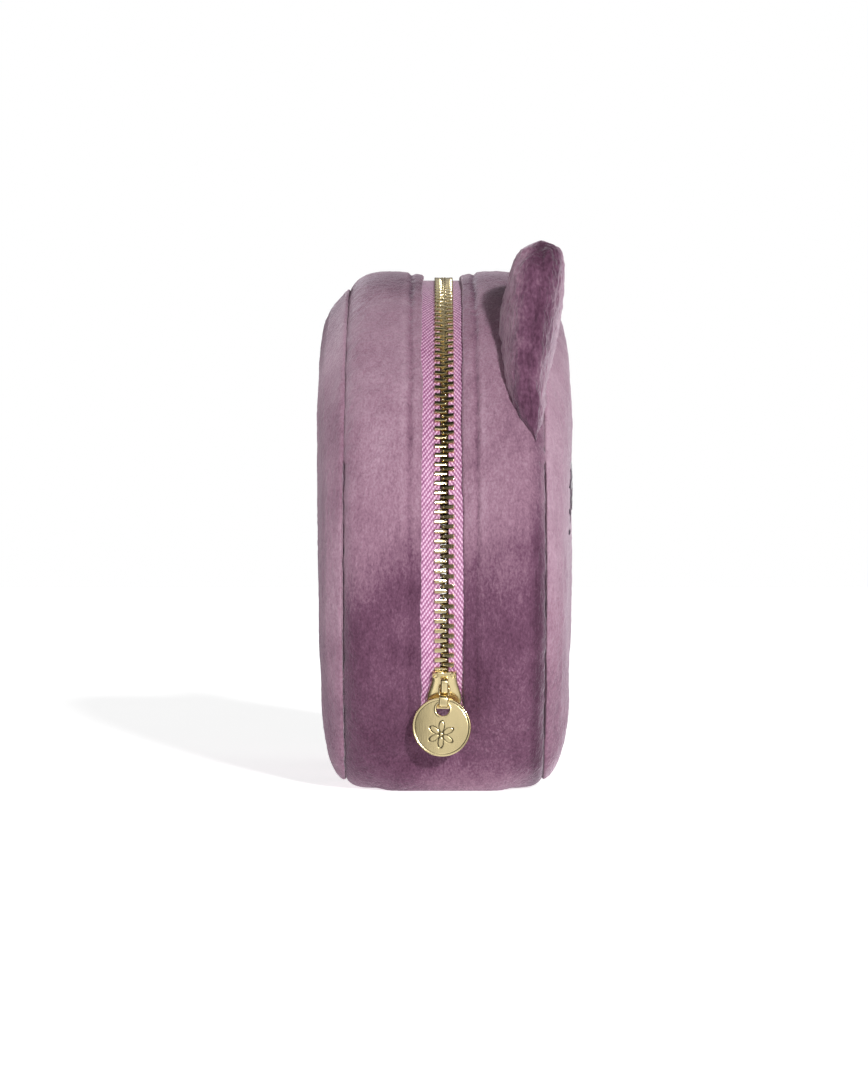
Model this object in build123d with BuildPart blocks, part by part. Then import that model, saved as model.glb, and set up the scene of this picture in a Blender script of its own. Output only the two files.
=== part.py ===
"""A plush makeup bag in the shape of a round animal head with two stuffed ears.

The bag is two domed panels, front and back, joined by a gusset.  A metal zip runs
along the middle of the gusset, up one side, over the top and down the other, so
that the front half folds open about its bottom seam.  Millimetres, +Z up, the
face looks along -Y, and the origin is the middle of the flat base.
"""

from build123d import *

import os
from math import cos, degrees, radians, sin

# --- head and gusset ---------------------------------------------------------
HEAD_R = 98.0  # radius of the round outline, which the zip also follows
HEAD_Z = 66.0  # height of that circle's centre above the base
BASE_CORNER_R = 28.0  # rounding between the circle and the flat base
GUSSET_HALF = 30.5  # middle of the gusset to each panel seam
SEAM_ROLL = 6.0  # rounding of the gusset where it turns in to the seam
BULGE = 10.0  # how far each panel domes out past its seam
SHOULDER_TAPER = 38.0  # slope of the dome's shoulder, in degrees
CROWN_SHARE = 0.8  # crown rounding as a share of the dome's height
SEAM_GAP = 0.3  # slack between pieces that are sewn edge to edge
BASE_SEAM_DEG = -29.0  # where the gusset strips end and the base band starts

# --- layers, from the outside in ---------------------------------------------
PLUSH = 2.0
FOAM = 3.5
LINING = 0.7
LAYER_GAP = 0.05

# --- zip ----------------------------------------------------------------------
TAPE = 0.6
TAPE_R = HEAD_R - PLUSH - TAPE / 2 - LAYER_GAP  # middle of the tape's thickness
TAPE_EDGE = 1.3  # inner edge of each tape from the zip's centre line
TAPE_HALF = 14.0  # outer edge, under the gusset strips
ZIP_GAP_HALF = 6.1  # folded edge of each gusset strip from the centre line
FOLD_EDGE = ZIP_GAP_HALF + 1  # where the padding and lining under it start
PITCH = 2.95
TOOTH_HALF_LENGTH = 0.62
TOOTH_HALF_THICK = 1.25
TOOTH_HEAD = -0.9  # each tooth's head reaches this far past the centre line
TOOTH_LEG = 2.8  # and its legs this far the other way, over the tape
SLOT_HALF = 0.35  # half the slot that clamps the tape
SPREAD_START = 2.5  # past the slider's narrow end, where the two rows part
SPREAD_SLOPE = 0.24

# --- slider and pull ----------------------------------------------------------
SLIDER_REAR_DEG = 196.9  # polar angle of the slider's narrow end on the zip
SLIDER_LENGTH = 12.0
SHOULDER_AT = 8.5  # widest place, from the narrow end
PLATE = 1.0
PLATE_CLEAR = 0.25
FLANGE = 0.6
BRIDGE_FROM, BRIDGE_TO = 1.2, 6.2
BRIDGE_HEIGHT = 3.0
BRIDGE_BAR = 0.9
BRIDGE_WIDTH = 2.1
LINK_BAR = 0.9
LINK_WIDTH = 3.6
LINK_SLOT = 2.5
LOOP_WIDTH = 2.7
LOOP_STRAP = 0.6
LOOP_HALF_GAP = 1.1
LINK_LENGTH = 5.5  # from the bar under the bridge to the strap in the disc
DISC_R = 8.5
DISC_THICK = 1.1
DISC_HOLE_R = 1.95
DISC_HOLE_OFFSET = 5.15  # hole's centre above the disc's centre
DISC_BAR_RISE = 0.9  # the loop's bar above the hole's centre

# --- ears ---------------------------------------------------------------------
EAR_Y = -29.5  # middle of each ear's thickness
EAR_HALF_THICK = 10.5
EAR_ROOT_X, EAR_ROOT_Z, EAR_ROOT_R = -58.0, 126.0, 33.0  # most of it is trimmed away
EAR_TIP_X, EAR_TIP_Z, EAR_TIP_R = -73.0, 154.5, 13.5
EAR_ROUND = 9.5

# --- embroidery ---------------------------------------------------------------
THREAD = 0.6  # how far the stitches stand proud of the panel
EYE_X, EYE_Z, EYE_R = 54.0, 103.0, 14.5
WHISKER_X, WHISKER_LENGTH = 68.0, 12.0
WHISKER_ROWS = ((85.5, 8), (80.0, -4))  # height and slope in degrees of each
STITCH_WIDTH = 2.2

CHAIN_TOP = TAPE_R + TOOTH_HALF_THICK
PITCH_DEG = degrees(PITCH / TAPE_R)
BIG = 400.0

os.makedirs("parts", exist_ok=True)


def save(builder, name):
    """Writes one finished piece under its node name."""
    builder.part.label = name
    export_step(builder.part, f"parts/{name}.step")


# --- shared shapes --------------------------------------------------------------


def head_outline(inset):
    """The head's front outline, drawn this far inside its outer edge."""
    with BuildSketch() as outline:
        with Locations((0, HEAD_Z)):
            Circle(HEAD_R - inset)
        with Locations((0, inset)):
            Rectangle(BIG, BIG, align=(Align.CENTER, Align.MIN), mode=Mode.INTERSECT)
        fillet(outline.vertices().group_by(Axis.Y)[0], BASE_CORNER_R - inset)
    return outline.sketch


def bag_volume(inset):
    """The whole bag as one solid, drawn this far inside its outer surface."""
    with BuildPart() as volume:
        with BuildSketch(Plane.XZ):
            add(head_outline(inset))
        extrude(amount=GUSSET_HALF)
        front = volume.faces().sort_by(Axis.Y)[0]
        fillet(front.edges(), SEAM_ROLL)
        with BuildSketch(Plane.XZ.offset(GUSSET_HALF)):
            add(head_outline(inset + SEAM_ROLL))
        extrude(amount=BULGE - inset, taper=SHOULDER_TAPER)
        crown = volume.faces().sort_by(Axis.Y)[0]
        fillet(crown.edges(), CROWN_SHARE * (BULGE - inset))
        mirror(about=Plane.XZ)
    return volume.part


def shell(outer, inner):
    """The layer between two nested volumes."""
    with BuildPart() as layer:
        add(outer)
        add(inner, mode=Mode.SUBTRACT)
    return layer.part


def sector(upper):
    """The part of a front view above the base seams, or the part below them."""
    reach_x = BIG * cos(radians(BASE_SEAM_DEG))
    reach_z = BIG * sin(radians(BASE_SEAM_DEG))
    apex = HEAD_Z if upper else HEAD_Z - SEAM_GAP
    far = BIG if upper else -BIG
    with BuildSketch() as region:
        with BuildLine():
            Polyline(
                (0, apex),
                (reach_x, apex + reach_z),
                (BIG, far),
                (-BIG, far),
                (-reach_x, apex + reach_z),
                close=True,
            )
        make_face()
    return region.sketch


def front_panel_of(layer, mirrored=False):
    """The front or back panel cut from a layer, outside its seam plane."""
    with BuildPart() as panel:
        add(layer)
        with BuildSketch(Plane.XZ.offset(GUSSET_HALF + SEAM_GAP / 2)):
            Rectangle(BIG, 2 * BIG)
        extrude(amount=BIG, mode=Mode.INTERSECT)
        if mirrored:
            mirror(about=Plane.XZ)
            with BuildSketch(Plane.XZ):
                Rectangle(BIG, 2 * BIG)
            extrude(amount=BIG, mode=Mode.SUBTRACT)
    return panel


def strip_of(layer, inner_edge, side):
    """The gusset strip cut from a layer, from inner_edge out to the seam: side 1 is front."""
    width = GUSSET_HALF - SEAM_GAP / 2 - inner_edge
    with BuildPart() as strip:
        add(layer)
        with BuildSketch(Plane.XZ.offset(side * inner_edge)):
            add(sector(upper=True))
        extrude(amount=side * width, mode=Mode.INTERSECT)
    return strip


def base_band_of(layer):
    """The band under the bag, up to the base seams on both sides."""
    with BuildPart() as band:
        add(layer)
        with BuildSketch(Plane.XZ):
            add(sector(upper=False))
        extrude(amount=GUSSET_HALF - SEAM_GAP / 2, both=True, mode=Mode.INTERSECT)
    return band


def on_zip(polar_deg, radius=TAPE_R):
    """Plane on the zip's arc: x runs along the zip towards its closed end, z out of the bag."""
    a = radians(polar_deg)
    return Plane(
        origin=(radius * cos(a), 0, HEAD_Z + radius * sin(a)),
        x_dir=(-sin(a), 0, cos(a)),
        z_dir=(cos(a), 0, sin(a)),
    )


def spread(past_rear):
    """Sideways shift of each tooth row this far past the slider's narrow end."""
    return SPREAD_SLOPE * max(past_rear - SPREAD_START, 0)


# --- layers of the bag ------------------------------------------------------------
insets = [0, PLUSH, PLUSH + FOAM, PLUSH + FOAM + LINING]
outside = [bag_volume(inset + (LAYER_GAP if inset else 0)) for inset in insets]
inside = [bag_volume(inset) for inset in insets[1:]]
plush_layer = shell(outside[0], inside[0])
foam_layer = shell(outside[1], inside[1])
lining_layer = shell(outside[2], inside[2])

with BuildPart() as tape_pocket:
    with BuildSketch(Plane.XZ):
        with Locations((0, HEAD_Z)):
            Circle(HEAD_R)
            Circle(TAPE_R - TAPE / 2 - LAYER_GAP, mode=Mode.SUBTRACT)
    extrude(amount=TAPE_HALF + SEAM_GAP, both=True)

for name, layer in (("panel", plush_layer), ("padding", foam_layer), ("lining", lining_layer)):
    save(front_panel_of(layer), f"front_{name}")
    save(front_panel_of(layer, mirrored=True), f"back_{name}")

with BuildPart() as foam_round_tape:
    add(foam_layer)
    add(tape_pocket.part, mode=Mode.SUBTRACT)

for name, side in (("front", 1), ("back", -1)):
    save(strip_of(plush_layer, ZIP_GAP_HALF, side), f"gusset_strip_{name}")
    save(strip_of(foam_round_tape.part, FOLD_EDGE, side), f"gusset_padding_{name}")
    save(strip_of(lining_layer, FOLD_EDGE, side), f"gusset_lining_{name}")

save(base_band_of(plush_layer), "base_band")
save(base_band_of(foam_layer), "base_padding")
save(base_band_of(lining_layer), "base_lining")

# --- seam bindings: tape folded over the raw edges, standing inside both seams -------
BINDING_DEPTH = 7.0
BINDING_THICK = 2.2
binding_inset = insets[3] + SEAM_ROLL + SEAM_GAP
for name, side in (("front", 1), ("back", -1)):
    with BuildPart() as binding:
        with BuildSketch(Plane.XZ.offset(side * (GUSSET_HALF - SEAM_GAP / 2))):
            add(head_outline(binding_inset))
            add(head_outline(binding_inset + BINDING_DEPTH), mode=Mode.SUBTRACT)
        extrude(amount=-side * BINDING_THICK)
    save(binding, f"seam_binding_{name}")

# --- zip tapes ---------------------------------------------------------------------
SPREAD_END = 24.0
tape_cut_plane = on_zip(SLIDER_REAR_DEG)
for name, side in (("front", 1), ("back", -1)):
    with BuildPart() as tape:
        with BuildSketch(Plane.XZ.offset(side * TAPE_EDGE)):
            with Locations((0, HEAD_Z)):
                Circle(TAPE_R + TAPE / 2)
                Circle(TAPE_R - TAPE / 2, mode=Mode.SUBTRACT)
            add(sector(upper=True), mode=Mode.INTERSECT)
        extrude(amount=side * (TAPE_HALF - TAPE_EDGE))
        with BuildSketch(tape_cut_plane.offset(-PLATE * 5)):
            with BuildLine():
                Polyline(
                    (SPREAD_START, 0),
                    (SPREAD_START, side * TAPE_EDGE),
                    (SPREAD_END, side * (TAPE_EDGE + spread(SPREAD_END))),
                    (SPREAD_END, 0),
                    close=True,
                )
            make_face()
        extrude(amount=PLATE * 10, mode=Mode.SUBTRACT)
    save(tape, f"zip_tape_{name}")

# --- zip teeth ---------------------------------------------------------------------
LAST_TOOTH = 10.2  # past the slider's narrow end, inside its mouth
OPEN_END_DEG = -23.6
closed_end_deg = SLIDER_REAR_DEG + degrees(LAST_TOOTH / TAPE_R)
tooth_count = int((closed_end_deg - OPEN_END_DEG) / PITCH_DEG)

with BuildPart() as tooth:
    with BuildSketch(Plane.XY.offset(-TOOTH_HALF_THICK)):
        with Locations((0, (TOOTH_LEG + TOOTH_HEAD) / 2)):
            RectangleRounded(2 * TOOTH_HALF_LENGTH, TOOTH_LEG - TOOTH_HEAD, 0.3)
    extrude(amount=2 * TOOTH_HALF_THICK)
    with Locations((0, TOOTH_LEG, 0)):
        Box(
            BIG,
            2 * (TOOTH_LEG - TAPE_EDGE + 0.1),
            2 * SLOT_HALF,
            mode=Mode.SUBTRACT,
        )

for name, side in (("front", 1), ("back", -1)):
    lag = 0 if side == 1 else PITCH / 2
    places = []
    for number in range(tooth_count):
        past_rear = LAST_TOOTH - lag - number * PITCH
        angle = SLIDER_REAR_DEG + degrees(past_rear / TAPE_R)
        turn = 0 if side == 1 else 180
        shift = Location((0, side * spread(past_rear), 0), (turn, 0, 0))
        places.append(on_zip(angle).location * shift)
    with BuildPart() as row:
        with Locations(*places):
            add(tooth.part)
    save(row, f"zip_teeth_{name}")

# --- zip stops ----------------------------------------------------------------------
STOP_LENGTH = 2.4
STOP_REACH = 2.4  # across the tape
TOP_STOP_AT = 13.6  # past the slider's narrow end
for name, side in (("front", 1), ("back", -1)):
    edge = TAPE_EDGE + spread(TOP_STOP_AT)
    top_stop_plane = on_zip(SLIDER_REAR_DEG + degrees(TOP_STOP_AT / TAPE_R))
    with BuildPart(top_stop_plane) as stop:
        with Locations((0, side * (edge + STOP_REACH / 2 - 0.9), 0)):
            Box(STOP_LENGTH, STOP_REACH, 2 * TOOTH_HALF_THICK)
        fillet(stop.edges(), 0.35)
        with Locations((0, side * (edge + BIG / 2 - 0.4), 0)):
            Box(STOP_LENGTH + 1, BIG, 2 * SLOT_HALF, mode=Mode.SUBTRACT)
    save(stop, f"top_stop_{name}")

bottom_stop_plane = on_zip(OPEN_END_DEG - PITCH_DEG)
with BuildPart(bottom_stop_plane) as bottom_stop:
    Box(STOP_LENGTH, 2 * (TAPE_EDGE + 1.9), 2 * TOOTH_HALF_THICK)
    fillet(bottom_stop.edges(), 0.35)
    for side in (1, -1):
        with Locations((0, side * (TAPE_EDGE + BIG / 2 - 0.1), 0)):
            Box(STOP_LENGTH + 1, BIG, 2 * SLOT_HALF, mode=Mode.SUBTRACT)
save(bottom_stop, "bottom_stop")

# --- slider: two plates joined by a wedge, with turned-in flanges --------------------------
REAR_HALF = TOOTH_LEG + 0.3 + FLANGE
shoulder_half = REAR_HALF + spread(SHOULDER_AT)
FRONT_HALF = 3.2
plate_low = TOOTH_HALF_THICK + PLATE_CLEAR  # inner face of each plate from the tape
plate_high = plate_low + PLATE
slider_middle_deg = SLIDER_REAR_DEG + degrees(SLIDER_LENGTH / 2 / TAPE_R)
slider_middle = on_zip(slider_middle_deg)


def along(past_rear):
    """Position on the slider's own x axis."""
    return past_rear - SLIDER_LENGTH / 2


with BuildPart(slider_middle) as slider_body:
    for level in (plate_low, -plate_high):
        with BuildSketch(slider_middle.offset(level)):
            with BuildLine():
                for side in (1, -1):
                    Polyline(
                        (along(0), 0),
                        (along(0), side * REAR_HALF),
                        (along(SPREAD_START), side * REAR_HALF),
                        (along(SHOULDER_AT), side * shoulder_half),
                    )
                    ThreePointArc(
                        (along(SHOULDER_AT), side * shoulder_half),
                        (along(SHOULDER_AT + 2.3), side * (shoulder_half - 0.7)),
                        (along(SLIDER_LENGTH), side * FRONT_HALF),
                    )
                    Line(
                        (along(SLIDER_LENGTH), side * FRONT_HALF),
                        (along(SLIDER_LENGTH), 0),
                    )
            make_face()
        extrude(amount=PLATE)
    for side in (1, -1):
        for low, high in ((SLOT_HALF + 0.25, plate_low), (-plate_low, -SLOT_HALF - 0.25)):
            with BuildSketch(slider_middle.offset(low)):
                with BuildLine():
                    Polyline(
                        (along(0), side * REAR_HALF),
                        (along(SPREAD_START), side * REAR_HALF),
                        (along(SHOULDER_AT), side * shoulder_half),
                        (along(SHOULDER_AT), side * (shoulder_half - FLANGE)),
                        (along(SPREAD_START), side * (REAR_HALF - FLANGE)),
                        (along(0), side * (REAR_HALF - FLANGE)),
                        close=True,
                    )
                make_face()
            extrude(amount=high - low)
    WEDGE_FROM, WEDGE_TO = 7.7, 11.5
    wedge_half = spread(WEDGE_TO) + TOOTH_HEAD - 0.35
    with BuildSketch(slider_middle.offset(-plate_low)):
        with BuildLine():
            Polyline(
                (along(WEDGE_FROM), 0),
                (along(WEDGE_TO), wedge_half),
                (along(WEDGE_TO), -wedge_half),
                close=True,
            )
        make_face()
    extrude(amount=2 * plate_low)
    # two cast lugs on the narrow end's corners
    with BuildSketch(slider_middle.offset(plate_high)):
        with Locations((along(0.95), REAR_HALF - 1), (along(0.95), 1 - REAR_HALF)):
            RectangleRounded(1.7, 1.8, 0.5)
    extrude(amount=0.5)
save(slider_body, "slider_body")

# --- bridge: the arch on top of the slider that carries the pull -----------------------------
bridge_side = Plane(
    origin=slider_middle.offset(plate_high).origin,
    x_dir=slider_middle.x_dir,
    z_dir=-slider_middle.y_dir,
)
with BuildPart() as slider_bridge:
    with BuildSketch(bridge_side):
        middle = along((BRIDGE_FROM + BRIDGE_TO) / 2)
        with Locations((middle, BRIDGE_HEIGHT / 2)):
            Rectangle(BRIDGE_TO - BRIDGE_FROM, BRIDGE_HEIGHT)
        with Locations((middle, (BRIDGE_HEIGHT - BRIDGE_BAR) / 2)):
            Rectangle(
                BRIDGE_TO - BRIDGE_FROM - 2 * BRIDGE_BAR,
                BRIDGE_HEIGHT - BRIDGE_BAR,
                mode=Mode.SUBTRACT,
            )
    extrude(amount=BRIDGE_WIDTH / 2, both=True)
    across = slider_bridge.edges().filter_by(Axis.Y)
    crown_edges = across.filter_by(
        lambda e: bridge_side.to_local_coords(e.center()).Y > BRIDGE_HEIGHT - 0.1
    )
    fillet(crown_edges, 1.2)
    hollow_edges = slider_bridge.edges().filter_by(Axis.Y).filter_by(
        lambda e: 1 < bridge_side.to_local_coords(e.center()).Y < BRIDGE_HEIGHT - 0.5
    )
    fillet(hollow_edges, 0.5)
save(slider_bridge, "slider_bridge")

# --- pull link: hangs plumb from the bridge and carries the disc ------------------------------
LINK_PIVOT_AT = 4.6  # past the slider's narrow end
LINK_PIVOT_RISE = 1.25  # above the slider's top plate
pivot = bridge_side.from_local_coords((along(LINK_PIVOT_AT), LINK_PIVOT_RISE, 0))
link_front = Plane(origin=pivot, x_dir=(0, -1, 0), z_dir=(-1, 0, 0))
link_side = Plane(origin=pivot, x_dir=(-1, 0, 0), z_dir=(0, 1, 0))
EYE_TOP = LINK_BAR / 2
SLOT_TOP = -LINK_BAR / 2
SLOT_BOTTOM = -2.35
EYE_BOTTOM = SLOT_BOTTOM - LOOP_STRAP
loop_top = SLOT_BOTTOM
loop_bottom = -LINK_LENGTH - LOOP_STRAP / 2
with BuildPart() as pull_link:
    with BuildSketch(link_front):
        with Locations((0, (EYE_TOP + EYE_BOTTOM) / 2)):
            RectangleRounded(LINK_WIDTH, EYE_TOP - EYE_BOTTOM, 0.5)
        with Locations((0, (SLOT_TOP + SLOT_BOTTOM) / 2)):
            RectangleRounded(
                LINK_SLOT, SLOT_TOP - SLOT_BOTTOM, 0.35, mode=Mode.SUBTRACT
            )
    extrude(amount=LINK_BAR / 2, both=True)
    with BuildSketch(link_side):
        with Locations((0, (loop_top + loop_bottom) / 2)):
            RectangleRounded(
                2 * (LOOP_HALF_GAP + LOOP_STRAP), loop_top - loop_bottom, 1.1
            )
            RectangleRounded(
                2 * LOOP_HALF_GAP,
                loop_top - loop_bottom - 2 * LOOP_STRAP,
                0.6,
                mode=Mode.SUBTRACT,
            )
    extrude(amount=LOOP_WIDTH / 2, both=True)
save(pull_link, "pull_link")

# --- pull disc ---------------------------------------------------------------------------------
disc_centre = pivot + Vector(0, 0, -LINK_LENGTH - DISC_BAR_RISE - DISC_HOLE_OFFSET)
disc_face = Plane(origin=disc_centre, x_dir=(0, -1, 0), z_dir=(-1, 0, 0))
RIM_LINE_R = 7.6
ENGRAVING = 0.15
with BuildPart() as pull_disc:
    with BuildSketch(disc_face):
        Circle(DISC_R)
    extrude(amount=DISC_THICK / 2, both=True)
    chamfer(pull_disc.edges().filter_by(GeomType.CIRCLE), 0.2)
    with BuildSketch(disc_face.offset(-DISC_THICK)):
        with Locations((0, DISC_HOLE_OFFSET)):
            Circle(DISC_HOLE_R)
    extrude(amount=2 * DISC_THICK, mode=Mode.SUBTRACT)
    with BuildSketch(disc_face.offset(DISC_THICK / 2 - ENGRAVING)):
        Circle(RIM_LINE_R)
        Circle(RIM_LINE_R - 0.2, mode=Mode.SUBTRACT)
        with Locations((0, DISC_HOLE_OFFSET)):
            Circle(DISC_HOLE_R + 0.9, mode=Mode.SUBTRACT)
    extrude(amount=DISC_THICK, mode=Mode.SUBTRACT)
    # a plain six-petal flower in the middle of the lower half
    with BuildSketch(disc_face.offset(DISC_THICK / 2 - ENGRAVING)):
        with Locations((0, -1.7)):
            with PolarLocations(1.9, 6):
                Ellipse(1.25, 0.6)
                Ellipse(1.0, 0.38, mode=Mode.SUBTRACT)
            Circle(0.4)
    extrude(amount=DISC_THICK, mode=Mode.SUBTRACT)
save(pull_disc, "pull_disc")

# --- ears ----------------------------------------------------------------------------------------


def ear_outline(inset):
    """Front outline of the left-hand ear: a round root inside the head and a round tip."""
    with BuildSketch() as outline:
        with Locations((EAR_ROOT_X, EAR_ROOT_Z)):
            Circle(EAR_ROOT_R - inset)
        with Locations((EAR_TIP_X, EAR_TIP_Z)):
            Circle(EAR_TIP_R - inset)
        make_hull()
    return outline.sketch


def ear_volume(inset):
    """The left-hand ear as one solid, before it is trimmed to stand on the head."""
    with BuildPart() as ear:
        with BuildSketch(Plane.XZ.offset(-EAR_Y)):
            add(ear_outline(inset))
        extrude(amount=EAR_HALF_THICK - inset, both=True)
        fillet(ear.faces().filter_by(Axis.Y).edges(), EAR_ROUND - inset)
    return ear.part


ear_outer = ear_volume(0)
ear_inner = ear_volume(PLUSH)
with BuildPart() as ear_skin:
    add(ear_outer)
    add(ear_inner, mode=Mode.SUBTRACT)
    add(bag_volume(-SEAM_GAP / 2), mode=Mode.SUBTRACT)

with BuildPart() as ear_core:
    add(ear_volume(PLUSH + LAYER_GAP))
    add(bag_volume(-SEAM_GAP / 2), mode=Mode.SUBTRACT)

ear_middle = Plane.XZ.offset(-EAR_Y)
for hand in ("left", "right"):
    for face, amount in (("front", BIG), ("back", -BIG)):
        with BuildPart() as half_skin:
            add(ear_skin.part)
            with BuildSketch(ear_middle):
                Rectangle(BIG, 2 * BIG)
            extrude(amount=amount, mode=Mode.INTERSECT)
            if hand == "right":
                mirror(about=Plane.YZ, mode=Mode.REPLACE)
        save(half_skin, f"ear_{hand}_{face}")
    with BuildPart() as filling:
        add(ear_core.part)
        if hand == "right":
            mirror(about=Plane.YZ, mode=Mode.REPLACE)
    save(filling, f"ear_{hand}_filling")

# --- embroidered face: closed eyes with lashes, whiskers, a nose and a mouth --------------------
stitch_plane = Plane.XZ.offset(GUSSET_HALF + BULGE)
LASH_LENGTH = 6.0
for hand, sign in (("left", -1), ("right", 1)):
    with BuildPart() as eye:
        with BuildSketch(stitch_plane):
            with BuildLine():
                lid = CenterArc((sign * EYE_X, EYE_Z), EYE_R, 200, 140)
                offset(lid, amount=STITCH_WIDTH / 2)
            make_face()
            for lash_deg in (215, 250, 290, 325):
                a = radians(lash_deg)
                reach = EYE_R + LASH_LENGTH / 2
                with Locations((sign * EYE_X + reach * cos(a), EYE_Z + reach * sin(a))):
                    SlotOverall(LASH_LENGTH, 0.7 * STITCH_WIDTH, rotation=lash_deg)
        extrude(amount=THREAD)
    save(eye, f"eye_{hand}_embroidery")

for hand, sign in (("left", -1), ("right", 1)):
    with BuildPart() as whiskers:
        with BuildSketch(stitch_plane):
            for height, slope in WHISKER_ROWS:
                with Locations((sign * WHISKER_X, height)):
                    SlotOverall(WHISKER_LENGTH, 0.8 * STITCH_WIDTH, rotation=sign * slope)
        extrude(amount=THREAD)
    save(whiskers, f"whiskers_{hand}_embroidery")

NOSE_Z, NOSE_WIDTH, NOSE_HEIGHT = 78.0, 15.0, 9.5
with BuildPart() as nose:
    with BuildSketch(stitch_plane) as nose_shape:
        with BuildLine():
            Polyline(
                (-NOSE_WIDTH / 2, NOSE_Z + NOSE_HEIGHT / 2),
                (NOSE_WIDTH / 2, NOSE_Z + NOSE_HEIGHT / 2),
                (0, NOSE_Z - NOSE_HEIGHT / 2),
                close=True,
            )
        make_face()
        fillet(nose_shape.vertices(), 2.0)
    extrude(amount=THREAD)
save(nose, "nose_embroidery")

MOUTH_R = 9.0
mouth_z = NOSE_Z - NOSE_HEIGHT / 2 - 5.0
with BuildPart() as mouth:
    with BuildSketch(stitch_plane):
        for sign, start in ((-1, 210), (1, 180)):
            with BuildLine():
                curve = CenterArc((sign * MOUTH_R, mouth_z), MOUTH_R, start, 150)
                offset(curve, amount=STITCH_WIDTH / 2)
            make_face()
        with Locations((0, mouth_z + 1.8)):
            SlotOverall(5.6, STITCH_WIDTH, rotation=90)
    extrude(amount=THREAD)
save(mouth, "mouth_embroidery")
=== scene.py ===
"""Plush animal-head makeup bag: soft goods, zip and pull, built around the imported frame.

All shapes are worked out in millimetres in the part's own frame and scaled to metres as each mesh is made.
"""

import math
from itertools import product

import bmesh
import bpy
import numpy as np
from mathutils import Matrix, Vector
from mathutils.bvhtree import BVHTree


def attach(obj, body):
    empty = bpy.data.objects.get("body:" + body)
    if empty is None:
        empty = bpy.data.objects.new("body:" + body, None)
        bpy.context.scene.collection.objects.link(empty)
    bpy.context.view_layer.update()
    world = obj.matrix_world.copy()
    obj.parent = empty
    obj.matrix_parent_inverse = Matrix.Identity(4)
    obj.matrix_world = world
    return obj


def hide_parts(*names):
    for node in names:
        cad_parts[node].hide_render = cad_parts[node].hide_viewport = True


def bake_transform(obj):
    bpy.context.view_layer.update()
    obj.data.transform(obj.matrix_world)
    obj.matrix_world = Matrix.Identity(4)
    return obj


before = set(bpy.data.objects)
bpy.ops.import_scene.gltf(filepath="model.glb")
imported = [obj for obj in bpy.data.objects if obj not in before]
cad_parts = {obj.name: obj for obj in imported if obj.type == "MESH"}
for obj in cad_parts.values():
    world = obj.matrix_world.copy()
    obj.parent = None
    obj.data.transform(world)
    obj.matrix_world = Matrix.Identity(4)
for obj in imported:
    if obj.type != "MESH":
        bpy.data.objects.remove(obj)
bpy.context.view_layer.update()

MM = 0.001

# --- the head's outline, as in the CAD ---
HEAD_R, HEAD_Z, CORNER_R = 98.0, 66.0, 28.0
CORNER_X = math.sqrt((HEAD_R - CORNER_R) ** 2 - (HEAD_Z - CORNER_R) ** 2)
CORNER_A = math.atan2(HEAD_Z - CORNER_R, CORNER_X)
CORNER_ARC = CORNER_R * (math.pi / 2 - CORNER_A)
BIG_ARC = HEAD_R * (math.pi + 2 * CORNER_A)
OUTLINE = 2 * (CORNER_X + CORNER_ARC) + BIG_ARC
BASE_SEAM_A = math.radians(29.0)
SEAM_Y = 30.3
PILE = 2.0  # thickness of the plush cloth

# --- zip ---
TAPE_R = 95.65
SLIDER_A = math.radians(196.9)
SLIDER_LENGTH = 12.0
SPREAD_START, SPREAD_SLOPE = 2.5, 0.24  # how the tapes part past the slider's narrow end
TAPE_EDGE = 1.3
PITCH = 2.95
FOLD_BACK, FOLD_FRONT = 6.7, 5.5  # folded edges of the gusset strips
STITCH_BACK, STITCH_FRONT = 10.1, 9.4


def s_at(polar):
    """Distance along the outline of a polar angle on the big arc, from the base's middle."""
    return CORNER_X + CORNER_ARC + (math.pi + CORNER_A - polar) * HEAD_R


def outline(s):
    """Points (x, z) on the outline and their outward normals, at distances s along it."""
    s = np.mod(np.asarray(s, float), OUTLINE)
    mirrored = s > OUTLINE / 2
    t = np.where(mirrored, OUTLINE - s, s)
    corner = np.clip((t - CORNER_X) / CORNER_R, 0, math.pi / 2 - CORNER_A)
    arc = np.clip((t - CORNER_X - CORNER_ARC) / HEAD_R, 0, None)
    a = -math.pi / 2 - corner - arc
    on_arc = t > CORNER_X + CORNER_ARC
    on_corner = (t > CORNER_X) & ~on_arc
    nx, nz = np.cos(a), np.sin(a)
    x = np.where(on_arc, HEAD_R * nx, np.where(on_corner, -CORNER_X + CORNER_R * nx, -t))
    z = np.where(on_arc, HEAD_Z + HEAD_R * nz, np.where(on_corner, CORNER_R * (1 + nz), 0))
    flip = np.where(mirrored, -1, 1)
    return x * flip, z, nx * flip, nz


def smooth(t):
    t = np.clip(t, 0, 1)
    return t * t * (3 - 2 * t)


def curve_through(xs, ys, soften=0.5):
    """A smooth function through a short table, rounded over about soften each way."""
    dense = np.linspace(xs[0], xs[-1], 1200)
    step = dense[1] - dense[0]
    values = np.interp(dense, xs, ys)
    half = max(int(2 * soften / step), 1)
    kernel = np.exp(-0.5 * (np.arange(-half, half + 1) * step / soften) ** 2)
    kernel /= kernel.sum()
    padded = np.concatenate(
        [2 * values[0] - values[half:0:-1], values, 2 * values[-1] - values[-2 : -half - 2 : -1]]
    )
    values = np.convolve(padded, kernel, "valid")
    return lambda x: np.interp(x, dense, values)


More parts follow.
